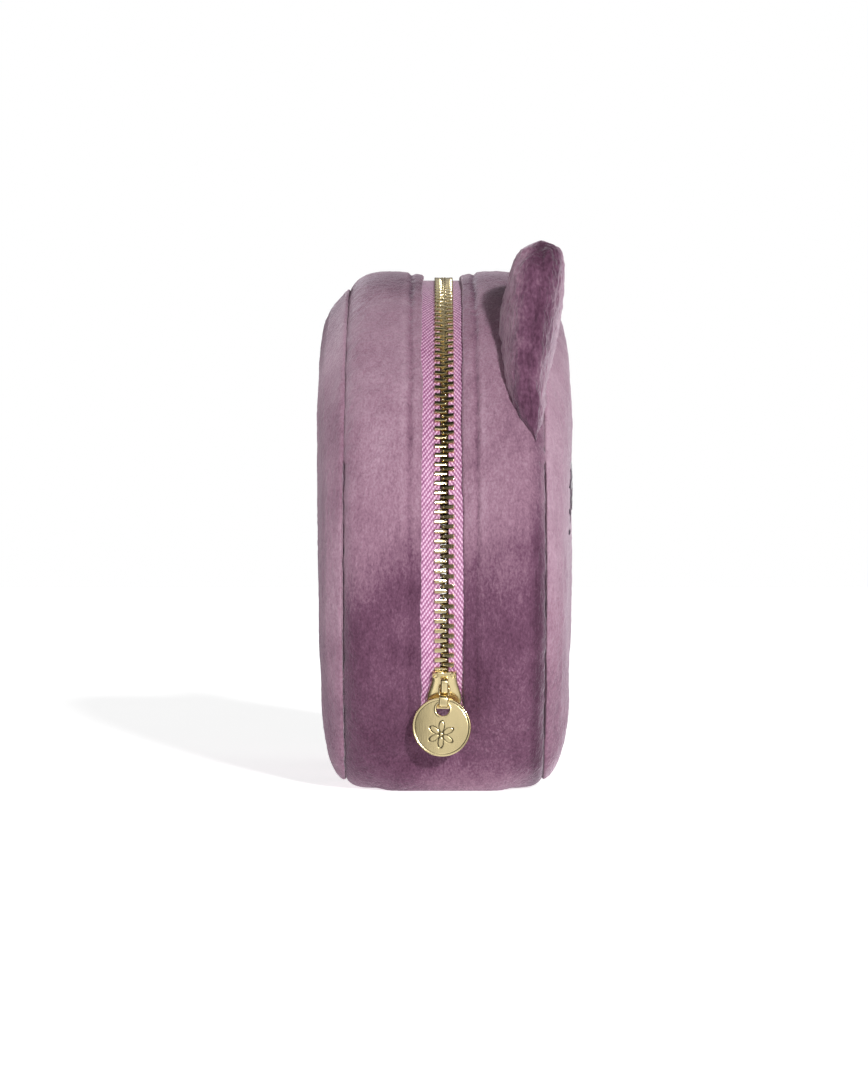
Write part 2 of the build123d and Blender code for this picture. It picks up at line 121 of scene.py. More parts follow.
def noise(p, cell, seed):
    """Smooth lumps from -1 to 1 at points p, about cell across."""
    q = p / cell + seed * 17.31
    base = np.floor(q).astype(np.int64)
    f = q - base
    f = f * f * (3 - 2 * f)
    total = np.zeros(p.shape[:-1])
    primes = np.array([73856093, 19349663, 83492791], np.uint64)
    for corner in product((0, 1), repeat=3):
        c = (base + corner).astype(np.uint64) * primes
        h = c[..., 0] ^ c[..., 1] ^ c[..., 2]
        h = (h ^ (h >> np.uint64(13))) * np.uint64(1274126177) & np.uint64(0xFFFFFFFF)
        h = (h ^ (h >> np.uint64(16))) & np.uint64(0xFFFF)
        w = np.prod(np.where(corner, f, 1 - f), axis=-1)
        total += w * (h / 32767.5 - 1)
    return total


def noise_along(s, cell, seed):
    """The same lumps along a line, at distances s."""
    return noise(np.stack([s, 0 * s, 0 * s], -1), cell, seed)


def grid_normals(p, closed_u, closed_v):
    """Unit normals of a grid of points."""

    def slope(axis, closed):
        if closed:
            return np.roll(p, -1, axis) - np.roll(p, 1, axis)
        return np.gradient(p, axis=axis)

    n = np.cross(slope(0, closed_u), slope(1, closed_v))
    return n / np.maximum(np.linalg.norm(n, axis=-1, keepdims=True), 1e-9)


def add_mesh(name, verts, faces, material, uv=None, **layers):
    """A shown, smooth-shaded mesh object from points in millimetres; layers are per-point values."""
    mesh = bpy.data.meshes.new(name)
    mesh.from_pydata((np.asarray(verts) * MM).tolist(), [], faces)
    mesh.validate()
    mesh.polygons.foreach_set("use_smooth", [True] * len(mesh.polygons))
    if uv is not None:
        layer = mesh.uv_layers.new(name="UVMap")
        index = np.zeros(len(mesh.loops), np.int32)
        mesh.loops.foreach_get("vertex_index", index)
        layer.data.foreach_set("uv", np.asarray(uv, np.float32)[index].ravel())
    for key, values in layers.items():
        layer = mesh.attributes.new(key, "FLOAT", "POINT")
        layer.data.foreach_set("value", np.asarray(values, np.float32).ravel())
    obj = bpy.data.objects.new(name, mesh)
    bpy.context.collection.objects.link(obj)
    mesh.materials.append(material)
    fix = bmesh.new()
    fix.from_mesh(mesh)
    bmesh.ops.recalc_face_normals(fix, faces=fix.faces)
    fix.to_mesh(mesh)
    fix.free()
    return obj


def sharpen(obj, degrees=38):
    """Keeps edges crisp where faces meet at more than this angle."""
    work = bmesh.new()
    work.from_mesh(obj.data)
    for edge in work.edges:
        if len(edge.link_faces) == 2:
            edge.smooth = edge.calc_face_angle(0) < math.radians(degrees)
    work.to_mesh(obj.data)
    work.free()
    return obj


def grid_faces(nu, nv, closed_u, closed_v, start=0):
    u = np.arange(nu if closed_u else nu - 1)
    v = np.arange(nv if closed_v else nv - 1)
    uu, vv = np.meshgrid(u, v, indexing="ij")
    u2, v2 = (uu + 1) % nu, (vv + 1) % nv
    quads = np.stack([uu * nv + vv, u2 * nv + vv, u2 * nv + v2, uu * nv + v2], -1)
    return (quads.reshape(-1, 4) + start).tolist()


def end_faces(nu, nv, start=0):
    """The two flat ends of a grid that is closed in v."""
    return [[first + i for i in range(nv)] for first in (start, start + (nu - 1) * nv)]


def stacked(rings):
    """Points and faces of a solid made of rings that follow each other."""
    shape = len(rings), len(rings[0])
    return np.concatenate(rings), grid_faces(*shape, False, True) + end_faces(*shape)


def merge(*parts):
    """Several (points, faces) as one."""
    verts, faces, start = [], [], 0
    for points, its_faces in parts:
        verts.append(np.asarray(points, float))
        faces += [[i + start for i in f] for f in its_faces]
        start += len(points)
    return np.concatenate(verts), faces


def tube(name, p, material, closed_u=False, **layers):
    """A grid closed in v, with flat ends if it is open in u."""
    nu, nv = p.shape[:2]
    faces = grid_faces(nu, nv, closed_u, True)
    if not closed_u:
        faces += end_faces(nu, nv)
    obj = add_mesh(name, p.reshape(-1, 3), faces, material, **layers)
    return obj if closed_u else sharpen(obj, 65)


def place(obj, body, nodes, blend=False):
    """Hides the CAD nodes a piece stands in for, then parents it to its body's empty or, with blend, bakes
    its transform into its mesh.
    """
    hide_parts(*nodes)
    if blend:
        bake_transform(obj)
    else:
        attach(obj, body)
    return obj


# --- materials ---


class Nodes:
    """Short-hand for building the node tree of a world, or of a new material if given its name."""

    def __init__(self, owner):
        if isinstance(owner, str):
            owner = self.material = bpy.data.materials.new(owner)
        owner.use_nodes = True
        self.tree = owner.node_tree
        self.shader = self.tree.nodes.get("Principled BSDF")

    def add(self, kind, inputs=(), **settings):
        node = self.tree.nodes.new(kind)
        for key, value in settings.items():
            setattr(node, key, value)
        for key, value in dict(inputs).items():
            self.put(node.inputs[key], value)
        return node

    def put(self, socket, value):
        if isinstance(value, bpy.types.NodeSocket):
            self.tree.links.new(value, socket)
        else:
            socket.default_value = value

    def set(self, **values):
        for key, value in values.items():
            self.put(self.shader.inputs[key.replace("_", " ")], value)

    def ramp(self, value, stops):
        node = self.add("ShaderNodeValToRGB", {"Fac": value})
        ramp = node.color_ramp
        while len(ramp.elements) < len(stops):
            ramp.elements.new(0.5)
        for element, (at, colour) in zip(ramp.elements, stops):
            element.position = at
            element.color = (*colour, 1)
        return node.outputs["Color"]

    def math(self, operation, *values):
        node = self.add("ShaderNodeMath", operation=operation)
        for socket, value in zip(node.inputs, values):
            self.put(socket, value)
        return node.outputs[0]

    def mix(self, factor, a, b, mode="MIX"):
        node = self.add("ShaderNodeMix", data_type="RGBA", blend_type=mode)
        self.put(node.inputs[0], factor)
        self.put(node.inputs[6], a if isinstance(a, bpy.types.NodeSocket) else (*a, 1))
        self.put(node.inputs[7], b if isinstance(b, bpy.types.NodeSocket) else (*b, 1))
        return node.outputs[2]

    def noise(self, vector, scale, detail=2.0, rough=0.5, distortion=0.0):
        node = self.add(
            "ShaderNodeTexNoise",
            {"Vector": vector, "Scale": scale, "Detail": detail, "Roughness": rough},
        )
        node.inputs["Distortion"].default_value = distortion
        return node.outputs["Fac"]

    def stretched(self, vector, scale, turn=(0, 0, 0)):
        node = self.add("ShaderNodeMapping", {"Vector": vector, "Scale": scale})
        node.inputs["Rotation"].default_value = turn
        return node.outputs["Vector"]

    def bump(self, height, distance, strength=1.0, under=None):
        node = self.add("ShaderNodeBump", {"Height": height})
        node.inputs["Strength"].default_value = strength
        node.inputs["Distance"].default_value = distance
        if under is not None:
            self.put(node.inputs["Normal"], under)
        return node.outputs["Normal"]

    def coords(self, kind="Object"):
        return self.add("ShaderNodeTexCoord").outputs[kind]


def velvet(name, pile=1.0, fuzz=1.0):
    """Short plush: a per-point layer gives the pile's tone, partly its own brushing and partly painted shade
    and painted sheen, with fibre grain.
    """
    m = Nodes(name)
    at = m.coords()
    nap = m.add("ShaderNodeAttribute", attribute_name="nap").outputs["Fac"]
    brushed = m.noise(m.stretched(at, (1, 1, 0.45)), 110, 3, 0.6, 0.4)
    grain = m.noise(m.stretched(at, (1, 1, 0.6)), 1700 / pile, 2.5, 0.65)
    clumps = m.noise(m.stretched(at, (1, 1, 0.4)), 640 / pile, 3, 0.6, 0.6)
    tone = m.math("ADD", nap, 0.5)
    for layer, share in ((brushed, 0.30), (clumps, 0.34 * fuzz), (grain, 0.62 * fuzz)):
        tone = m.math("ADD", tone, m.math("MULTIPLY", m.math("SUBTRACT", layer, 0.5), share))
    colour = m.ramp(
        tone,
        [
            (0.06, (0.070, 0.025, 0.050)),
            (0.32, (0.136, 0.058, 0.102)),
            (0.64, (0.288, 0.160, 0.222)),
            (0.96, (0.440, 0.290, 0.365)),
        ],
    )
    normal = m.bump(clumps, 0.0007 * pile, 0.5)
    normal = m.bump(grain, 0.0004 * pile, 0.7, normal)
    m.set(Base_Color=colour, Normal=normal, Roughness=0.92, Specular_IOR_Level=0.12)
    m.set(Sheen_Weight=0.5, Sheen_Roughness=0.38, Sheen_Tint=(0.86, 0.78, 0.86, 1))
    return m.material


def woven(name, dark, light, pitch, bump=0.00012):
    """Plain cloth: two crossing sets of threads, with a little unevenness."""
    m = Nodes(name)
    at = m.coords()
    sets = []
    for axis in ((1, 0, 0), (0, 1, 0), (0, 0, 1)):
        wave = m.add(
            "ShaderNodeTexWave",
            {"Vector": m.stretched(at, [0.35 + 0.65 * a for a in axis]), "Scale": 0.5 / pitch},
            bands_direction="DIAGONAL",
        )
        wave.inputs["Distortion"].default_value = 1.2
        sets.append(wave.outputs["Fac"])
    threads = m.math("MULTIPLY", m.math("ADD", sets[0], sets[1]), 0.5)
    threads = m.math("MAXIMUM", threads, sets[2])
    mottle = m.noise(at, 60, 3)
    tone = m.math("ADD", m.math("MULTIPLY", threads, 0.55), m.math("MULTIPLY", mottle, 0.5))
    m.set(Base_Color=m.ramp(tone, [(0.2, dark), (0.85, light)]), Roughness=0.75)
    m.set(Normal=m.bump(threads, bump), Specular_IOR_Level=0.25, Sheen_Weight=0.25)
    return m.material


def herringbone(name, band=5.7, rib_half=0.85, yarn_half=0.42):
    """Zip tape: slanting ribs that turn at each band, pale threads on a pink ground."""
    m = Nodes(name)
    uv = m.add("ShaderNodeSeparateXYZ", {"Vector": m.coords("UV")})
    along, across = uv.outputs["X"], uv.outputs["Y"]
    slant = m.math("MULTIPLY", m.math("PINGPONG", m.math("SUBTRACT", across, 1.2), band), 1.35)
    wobble = m.math("MULTIPLY", m.noise(m.coords(), 500, 2), 0.30)
    phase = m.math("ADD", m.math("ADD", along, slant), wobble)
    rib = m.math("DIVIDE", m.math("PINGPONG", phase, rib_half), rib_half)
    yarn = m.math("PINGPONG", m.math("SUBTRACT", across, m.math("MULTIPLY", along, 0.4)), yarn_half)
    yarn = m.math("DIVIDE", yarn, yarn_half)
    height = m.math("MULTIPLY", rib, m.math("ADD", m.math("MULTIPLY", yarn, 0.6), 0.4))
    speck = m.math("MULTIPLY", m.noise(m.coords(), 900, 2), 0.60)
    colour = m.ramp(
        m.math("ADD", m.math("MULTIPLY", height, 0.95), speck),
        [(0.28, (0.25, 0.07, 0.18)), (0.62, (0.47, 0.205, 0.365)), (1.0, (0.84, 0.56, 0.74))],
    )
    m.set(Base_Color=colour, Normal=m.bump(height, 0.00012), Roughness=0.5)
    m.set(Specular_IOR_Level=0.4, Sheen_Weight=0.2)
    return m.material


def metal(name, colour, roughness, wear=0.5, ink=None):
    """Pale gold plating with faint polishing marks; ink is the colour of engraved lines, if any."""
    m = Nodes(name)
    at = m.coords()
    smudge = m.noise(at, 160, 2)
    brushed = m.noise(m.stretched(at, (1, 1, 0.15)), 2600, 2)
    dull = m.math("ADD", m.math("MULTIPLY", smudge, 0.16 * wear), roughness - 0.08 * wear)
    deep = [c * (1 - 0.25 * wear) for c in colour]
    tint = m.ramp(m.noise(at, 420, 2), [(0.3, deep), (0.62, colour)])
    if ink:
        engraved = m.add("ShaderNodeAttribute", attribute_name="engraved").outputs["Fac"]
        tint = m.mix(engraved, tint, ink)
    m.set(Base_Color=tint, Metallic=1.0, Roughness=dull, Normal=m.bump(brushed, 0.00002, 0.6))
    return m.material


def thread(name, dark, light, metallic=0.0):
    """Embroidery thread: twisted filaments with a soft gloss."""
    m = Nodes(name)
    at = m.coords()
    twist = m.noise(m.stretched(at, (1, 1, 3)), 1700, 2)
    m.set(Base_Color=m.ramp(twist, [(0.3, dark), (0.7, light)]), Roughness=0.38)
    m.set(Normal=m.bump(twist, 0.00005), Metallic=metallic, Sheen_Weight=0.2)
    return m.material


plush_cloth = velvet("plush_cloth")
ear_cloth = velvet("ear_cloth", 1.6, 1.2)
tape_cloth = herringbone("tape_cloth")
lining_cloth = woven("lining_cloth", (0.30, 0.17, 0.27), (0.50, 0.34, 0.47), 0.0011)
binding_cloth = woven("binding_cloth", (0.22, 0.10, 0.19), (0.42, 0.25, 0.38), 0.0008, 0.0002)
GOLD = (0.90, 0.74, 0.41)
teeth_metal = metal("teeth_metal", (0.74, 0.62, 0.36), 0.16)
pull_metal = metal("pull_metal", GOLD, 0.2, 0.3)
disc_metal = metal("disc_metal", GOLD, 0.24, 0.15, ink=(0.16, 0.12, 0.055))
dark_thread = thread("dark_thread", (0.020, 0.008, 0.020), (0.070, 0.032, 0.065))
silver_thread = thread("silver_thread", (0.34, 0.32, 0.35), (0.66, 0.64, 0.68), 0.4)
rose_thread = thread("rose_thread", (0.20, 0.055, 0.12), (0.42, 0.17, 0.27))

# --- gusset and panels: where the plush surface lies ---
crowned = curve_through(
    [0, 5.5, 7, 9, 11, 14, 18, 22, 24.5, 26.5, 28, 29, 29.8, SEAM_Y],
    [0.7, 0.7, 0.4, 0.0, -0.4, -0.75, -0.9, -0.55, 0.0, 0.9, 2.0, 3.1, 4.4, 5.8],
    0.35,
)
flat_bottom = curve_through(
    [0, 22, 25, 27, 28.3, 29.3, 29.9, SEAM_Y], [0, 0, 0.15, 0.55, 1.1, 1.8, 2.5, 3.3], 0.35
)
PANEL_STEPS = [0, 1.0, 1.5, 2.4, 3.9, 6.0, 8.2, 10.3, 14.2, 17.6, 21.2, 25.0]
panel_out = curve_through(
    PANEL_STEPS, [30.35, 30.45, 30.8, 31.5, 32.7, 33.9, 34.9, 35.7, 36.75, 37.35, 37.8, 38.15], 0.3
)
panel_in = curve_through(
    PANEL_STEPS, [6.4, 5.4, 4.95, 5.25, 6.6, 8.3, 9.9, 11.5, 14.9, 18.2, 21.6, 25.4], 0.3
)
PANEL_SPAN = PANEL_STEPS[-1]
FACE_Y = 40.5
FACE_CENTRE = (0.0, 78.0)


def upright(nz):
    """1 on the sides and top of the outline, 0 on the flat base."""
    return smooth((nz + 1) / 0.55)


def gusset_inset(y, nz):
    """Depth of the plush under the outline; the cloth sags a little where the base turns up."""
    w = upright(nz)
    sag = smooth((nz + 0.998) / 0.08) * (1 - smooth((nz + 0.90) / 0.35))
    sag = 2.9 * sag * (1 - smooth((np.abs(y) - 12) / 16))
    return w * crowned(np.abs(y)) + (1 - w) * flat_bottom(np.abs(y)) - sag


def lumps(p, big=0.45):
    """How far the plush stands out at each point: slack, brushed hollows and pile."""
    slack = big * noise(p * (1, 1, 0.8), 27.0, 1) + 0.22 * noise(p, 10.0, 2)
    pile = 0.10 * noise(p, 2.3, 3) + 0.10 * noise(p, 1.05, 4)
    return slack + pile


def puckers(s, seam_gap):
    """Small gathers that run in from a seam."""
    wave = noise_along(s, 3.6, 5) + 0.6 * noise_along(s, 1.9, 6)
    return 0.30 * wave * np.exp(-seam_gap / 3.2)


def stitch_groove(y, line, s, s_from, s_to):
    """Dent of a row of topstitching, fading out at the strip's ends."""
    ends = smooth((s - s_from) / 9) * smooth((s_to - s) / 9)
    above = 0.30 + 0.70 * smooth((outline(s)[1] - 62) / 50)
    dimple = 0.85 + 0.30 * noise_along(s, 2.1, 9) + 0.25 * noise_along(s, 9.0, 10)
    wander = 0.35 * noise_along(s, 18.0, 7) + 0.15 * noise_along(s, 4.0, 16)
    return ends * above * dimple * np.exp(-(((np.abs(y) - line - wander) / 0.75) ** 2))


def gusset_nap(p, side):
    """Tone of the gusset's pile, partly painted light: darker below, a painted sheen where it turns under,
    and a little darker at the very top.
    """
    y, z = np.abs(p[..., 1]), p[..., 2]
    warp = 10 * noise(p, 34.0, 31) + 4 * noise(p, 12.0, 32)
    level = 60.0 + 14.0 * (1 - y / 28) if side > 0 else 70.0
    # painted shade: the lower gusset is darker, partly a brushed patch of pile and partly shade where the
    # cloth turns away from the light
    low = 1 - smooth((z + warp - level + 16) / 32)
    nap = 0.14 - 0.40 * low + 0.15 * noise(p * (1, 1, 0.6), 24.0, 33) + 0.07 * noise(p, 8.0, 34)
    # painted sheen where the cloth turns under the bag; a little darker at the very top
    nap += 0.19 * (1 - smooth(z / 10)) * low - 0.10 * smooth((z - 146) / 14)
    # painted shade along the hollow of the front panel's seam, below the ear
    if side < 0:
        nap -= 0.22 * np.exp(-(((y - 28.2) / 2.0) ** 2)) * smooth((128 - z) / 20)
    return nap


S_LEFT, S_RIGHT = s_at(math.pi + BASE_SEAM_A), s_at(-BASE_SEAM_A)


def plush_strip(name, side, fold, line, nodes, blend):
    """One gusset strip: crowned plush whose edge is folded under beside the zip."""
    s = np.linspace(S_LEFT, S_RIGHT, 640)[:, None]
    edge = fold + 0.22 * noise_along(s, 15.0, 8)
    lip, roll = 1.0, 0.95  # where the fold starts, and the radius that it turns at
    k = np.linspace(0, 1, 52)[None, :]
    y_out = SEAM_Y + (edge + lip - SEAM_Y) * k
    turn = np.linspace(0, np.pi, 9)[None, 1:]
    y_fold = edge + lip - roll * np.sin(turn)
    d_fold = roll - roll * np.cos(turn)
    k = np.linspace(0, 1, 16)[None, 1:]
    y_in = edge + lip + (SEAM_Y - 0.15 - edge - lip) * k
    y = np.concatenate([y_out, y_fold, y_in], 1)
    top = np.concatenate([y_out, y_fold * 0 + edge + lip, y_in], 1)
    depth = np.concatenate([y_out * 0, d_fold + 0 * s, 0 * y_in + 2 * roll + 0.1 * k], 1)
    ss = s + 0 * y
    x, z, nx, nz = outline(ss)
    inset = gusset_inset(top, nz) + depth
    p = np.stack([x - nx * inset, side * y, z - nz * inset], -1)
    n = grid_normals(p, False, True)
    n *= np.sign(np.sum(n[:, 10] * np.stack([nx, 0 * nx, nz], -1)[:, 10]))
    shown = np.concatenate([y_out * 0 + 1, y_fold * 0 + 1, y_in * 0], 1)
    shown[:, -len(k[0]) - 2 : -len(k[0])] *= 0.4
    out = lumps(p) + puckers(ss, SEAM_Y - y) + 0.5 * puckers(ss + 300, (y - edge) * 2)
    groove = stitch_groove(y, line, ss, S_LEFT, S_RIGHT)
    # painted shade in the dent of the topstitching, and a painted highlight on the ridge beside it
    nap = gusset_nap(p, side) - 0.22 * groove + 0.10 * stitch_groove(y, line + 2.2, ss, S_LEFT, S_RIGHT)
    p += n * ((out - 0.95 * groove) * shown)[..., None]
    obj = tube(name, p, plush_cloth, nap=nap)
    return place(obj, "bag", nodes, blend)


plush_strip("strip_front", -1, FOLD_FRONT, STITCH_FRONT, ["gusset_strip_front"], True)
plush_strip("strip_back", 1, FOLD_BACK, STITCH_BACK, ["gusset_strip_back"], False)


def plush_base():
    """The band under the bag, which carries on from both strips without a step."""
    lap = 1.2
    s = np.linspace(S_RIGHT - lap, OUTLINE + S_LEFT + lap, 256)[:, None]
    under = smooth((S_RIGHT + 0.25 - s) / 0.4) + smooth((s - OUTLINE - S_LEFT + 0.25) / 0.4)
    y_out = np.linspace(-SEAM_Y, SEAM_Y, 104)[None, :]
    y_in = np.linspace(SEAM_Y - 0.15, 0.15 - SEAM_Y, 28)[None, :]
    y = np.concatenate([y_out, y_in], 1)
    depth = np.concatenate([y_out * 0, y_in * 0 + PILE], 1) + 0.35 * under
    ss, yy = s + 0 * y, y + 0 * s
    x, z, nx, nz = outline(ss)
    inset = gusset_inset(yy, nz) + depth
    p = np.stack([x - nx * inset, yy, z - nz * inset], -1)
    n = grid_normals(p, False, True)
    n *= np.sign(np.sum(n[:, 50] * np.stack([nx, 0 * nx, nz], -1)[:, 50]))
    out = (lumps(p) + puckers(ss, SEAM_Y - np.abs(yy))) * np.concatenate([y_out * 0 + 1, y_in * 0], 1)
    standing = 1 - upright(nz)
    out = np.where(out > 0, out * (1 - standing), out * (1 - 0.6 * standing))
    p += n * out[..., None]
    p[..., 2] = np.maximum(p[..., 2], 0.02)
    # the band takes on the strips' tone, with its painted shade and painted sheen
    blend = smooth((yy + 6) / 12)
    nap = blend * gusset_nap(p, 1) + (1 - blend) * gusset_nap(p, -1)
    obj = tube("base_band_plush", p, plush_cloth, nap=nap)
    return place(obj, "bag", ["base_band"])


plush_base()


def panel_rings(steps_out, steps_in):
    """Section positions from the seam to the middle of a panel."""
    shoulder = PANEL_SPAN * np.linspace(0, 1, steps_out) ** 1.25
    middle = np.linspace(0, 1, steps_in + 1)[1:-1] ** 0.9
    return shoulder, middle


def panel_points(s, side, shoulder, middle, depth):
    """Grid of points on a domed panel, depth mm under its surface, without its pole."""
    x, z, nx, nz = outline(s[:, None] + 0 * shoulder[None, :])
    shrink = 1 - 0.5 * (1 - upright(nz)) * (1 - smooth(shoulder / 16))[None, :]
    inset = panel_in(shoulder)[None, :] * shrink
    out = panel_out(shoulder)[None, :] + 0 * inset
    rise, run = np.gradient(panel_out(shoulder)), np.gradient(panel_in(shoulder))
    length = np.maximum(np.hypot(rise, run), 1e-9)
    out = out + 1.7 * smooth(nz) * smooth((shoulder - 3) / 12)[None, :]
    inset = inset + depth * np.clip(rise / length, 0, 1)[None, :]
    out = np.maximum(out - depth * np.clip(run / length, 0, 1)[None, :], SEAM_Y + 0.05)
    ring = np.stack([x - nx * inset, side * out, z - nz * inset], -1)
    last = ring[:, -1:, :]
    pole = np.array([FACE_CENTRE[0], side * (FACE_Y - depth), FACE_CENTRE[1]])
    k = middle[None, :, None]
    inner = last * (1 - k) + pole * k
    inner[..., 1] = last[..., 1] + (pole[1] - last[..., 1]) * smooth(middle * 1.6)[None, :]
    return np.concatenate([ring, inner], 1), pole


def dome(name, side, outer_depth, inner_depth, material, nodes, blend, fine):
    """A panel layer: a closed shell between two depths under the plush surface."""
    nu, out_steps, mid_steps = (640, 44, 34) if fine else (260, 20, 14)
    s = np.linspace(0, OUTLINE, nu, endpoint=False)
    shoulder, middle = panel_rings(out_steps, mid_steps)
    outer, outer_pole = panel_points(s, side, shoulder, middle, outer_depth)
    coarse = slice(None, None, 2 if fine else 1)
    inner, inner_pole = panel_points(s, side, shoulder[coarse], middle[coarse], inner_depth)
    n = grid_normals(outer, True, False)
    n *= np.sign(n[0, -1, 1] * side)
    ss = s[:, None] + 0 * shoulder[None, :]
    if fine:
        out = lumps(outer, 0.75)
        out[:, :out_steps] += puckers(ss + 900, np.abs(shoulder)[None, :] * 0.9)
        outer = outer + n * out[..., None]
        outer_pole = outer_pole + np.array([0, side * lumps(outer_pole, 0.75), 0])
    else:
        out = 0.5 * noise(inner, 14.0, 11) + 0.25 * noise(inner, 5.0, 12)
        inward = grid_normals(inner, True, False)
        inner = inner - inward * np.sign(inward[0, -1, 1] * side) * np.abs(out)[..., None]
    outer[..., 2] = np.maximum(outer[..., 2], 0.3)
    p = np.concatenate([inner[:, ::-1], outer], 1)
    # painted light: the panels are painted lighter towards the top, as light falls from above, and with a
    # painted sheen near the outline; besides, a tone per panel and random pile tone
    height = smooth((p[..., 2] - 20) / 70)
    nap = (
        (-0.12 if side < 0 else -0.17)
        + 0.20 * height
        + 0.15 * noise(p * (1, 1, 0.6), 30.0, 35)
        + 0.08 * noise(p, 9.0, 36)
    )
    nap += 0.20 * (1 - smooth((HEAD_R - np.hypot(p[..., 0], p[..., 2] - HEAD_Z)) / 30))
    nv = p.shape[1]
    faces = grid_faces(nu, nv, True, False)
    verts = np.concatenate([p.reshape(-1, 3), [inner_pole, outer_pole]])
    for i in range(nu):
        j = (i + 1) % nu
        faces.append([i * nv, j * nv, nu * nv])
        faces.append([i * nv + nv - 1, j * nv + nv - 1, nu * nv + 1])
    obj = add_mesh(name, verts, faces, material, nap=np.append(nap.ravel(), [0.2, 0.2]))
    return place(obj, "bag", nodes, blend)


dome("panel_front", -1, 0.0, PILE, plush_cloth, ["front_panel"], True, True)
dome("panel_back", 1, 0.0, PILE, plush_cloth, ["back_panel"], False, True)
for side, name, blend in ((-1, "front", True), (1, "back", False)):
    nodes = [f"{name}_padding", f"{name}_lining"]
    dome(f"lining_{name}", side, PILE + 0.1, 6.3, lining_cloth, nodes, blend, False)

# --- lining of the gusset and base, with its padding inside it ---


def lining(name, s, y, inset, outer_columns, nodes, blend=False):
    """A closed lining with its padding inside it; the columns that face into the bag are wrinkled."""
    x, z, nx, nz = outline(s + 0 * y)
    p = np.stack([x - nx * inset, y, z - nz * inset], -1)
    inner = np.arange(y.shape[1]) >= outer_columns
    wrinkle = (0.35 * np.abs(noise(p, 9.0, 13)) + 0.15 * noise(p, 3.5, 14)) * inner
    p[..., 0] -= nx * wrinkle
    p[..., 2] -= nz * wrinkle
    return place(tube(name, p, lining_cloth), "bag", nodes, blend)


def gusset_lining(name, side, nodes, blend):
    """The lining of one gusset strip, with a pocket for the tape between y = edge and y = pocket."""
    s = np.linspace(S_LEFT, S_RIGHT, 300)[:, None]
    edge, pocket = 7.3, 14.6
    y_out = np.array([30.1, 28.5, 26, 22, 18, pocket, pocket - 0.2, 11, 8.2, edge + 0.2])
    d_out = np.array([2.1, 2.1, 2.1, 2.1, 2.1, 2.1, 2.75, 2.75, 2.75, 3.1])
    y_in = np.array([edge, edge + 0.2, 8.6, 11, 14, 17, 20, 23, 26, 28, 30.1])
    d_in = np.array([4.5, 5.9, 6.25, 6.3, 6.3, 6.3, 6.3, 6.3, 6.3, 6.3, 6.2])
    y = np.concatenate([y_out, y_in])[None, :] + 0 * s
    depth = np.concatenate([d_out, d_in])[None, :]
    inset = np.maximum(crowned(y), 0) + depth
    return lining(name, s, side * y, inset, len(y_out), nodes, blend)


gusset_lining("lining_gusset_front", -1, ["gusset_padding_front", "gusset_lining_front"], True)
gusset_lining("lining_gusset_back", 1, ["gusset_padding_back", "gusset_lining_back"], False)


def base_lining():
    """The lining of the band under the bag."""
    s = np.linspace(S_RIGHT + 0.4, OUTLINE + S_LEFT - 0.4, 170)[:, None]
    y_out = np.linspace(-30.1, 30.1, 34)
    y_in = np.linspace(30.1, -30.1, 44)
    y = np.concatenate([y_out, y_in])[None, :] + 0 * s
    depth = np.concatenate([y_out * 0 + PILE + 0.1, y_in * 0 + 6.3])[None, :]
    inset = gusset_inset(y, outline(s + 0 * y)[3]).clip(0, None) + depth
    return lining("lining_base", s, y, inset, len(y_out), ["base_padding", "base_lining"])


base_lining()


def binding(name, side, nodes, blend):
    """Bias tape folded over the raw edges of a seam, standing up inside the bag."""
    s = np.linspace(0, OUTLINE, 420, endpoint=False)[:, None]
    t = np.linspace(0, 2 * np.pi, 22, endpoint=False)[None, :]
    wave = 0.25 * noise_along(s, 7.0, 15)
    across = np.sign(np.cos(t)) * np.abs(np.cos(t)) ** 0.5 * 0.95
    deep = np.sign(np.sin(t)) * np.abs(np.sin(t)) ** 0.35 * 3.4
    y = side * (29.15 + across + wave * smooth((deep + 3.4) / 6.8))
    x, z, nx, nz = outline(s + 0 * deep)
    inset = 16.0 + deep + 0.3 * wave
    p = np.stack([x - nx * inset, y, z - nz * inset], -1)
    return place(tube(name, p, binding_cloth, True), "bag", nodes, blend)


binding("binding_front", -1, ["seam_binding_front"], True)
binding("binding_back", 1, ["seam_binding_back"], False)

# --- zip tapes ---


def spread(past_rear):
    """How far each tape has moved off the zip's middle, this far past the slider's narrow end."""
    return SPREAD_SLOPE * np.maximum(past_rear - SPREAD_START, 0)


def on_zip(polar, across, out):
    """Points at this polar angle on the zip, across mm to the back and out mm off the tape."""
    r = TAPE_R + out
    return np.stack([r * np.cos(polar), across + 0 * r, HEAD_Z + r * np.sin(polar)], -1)


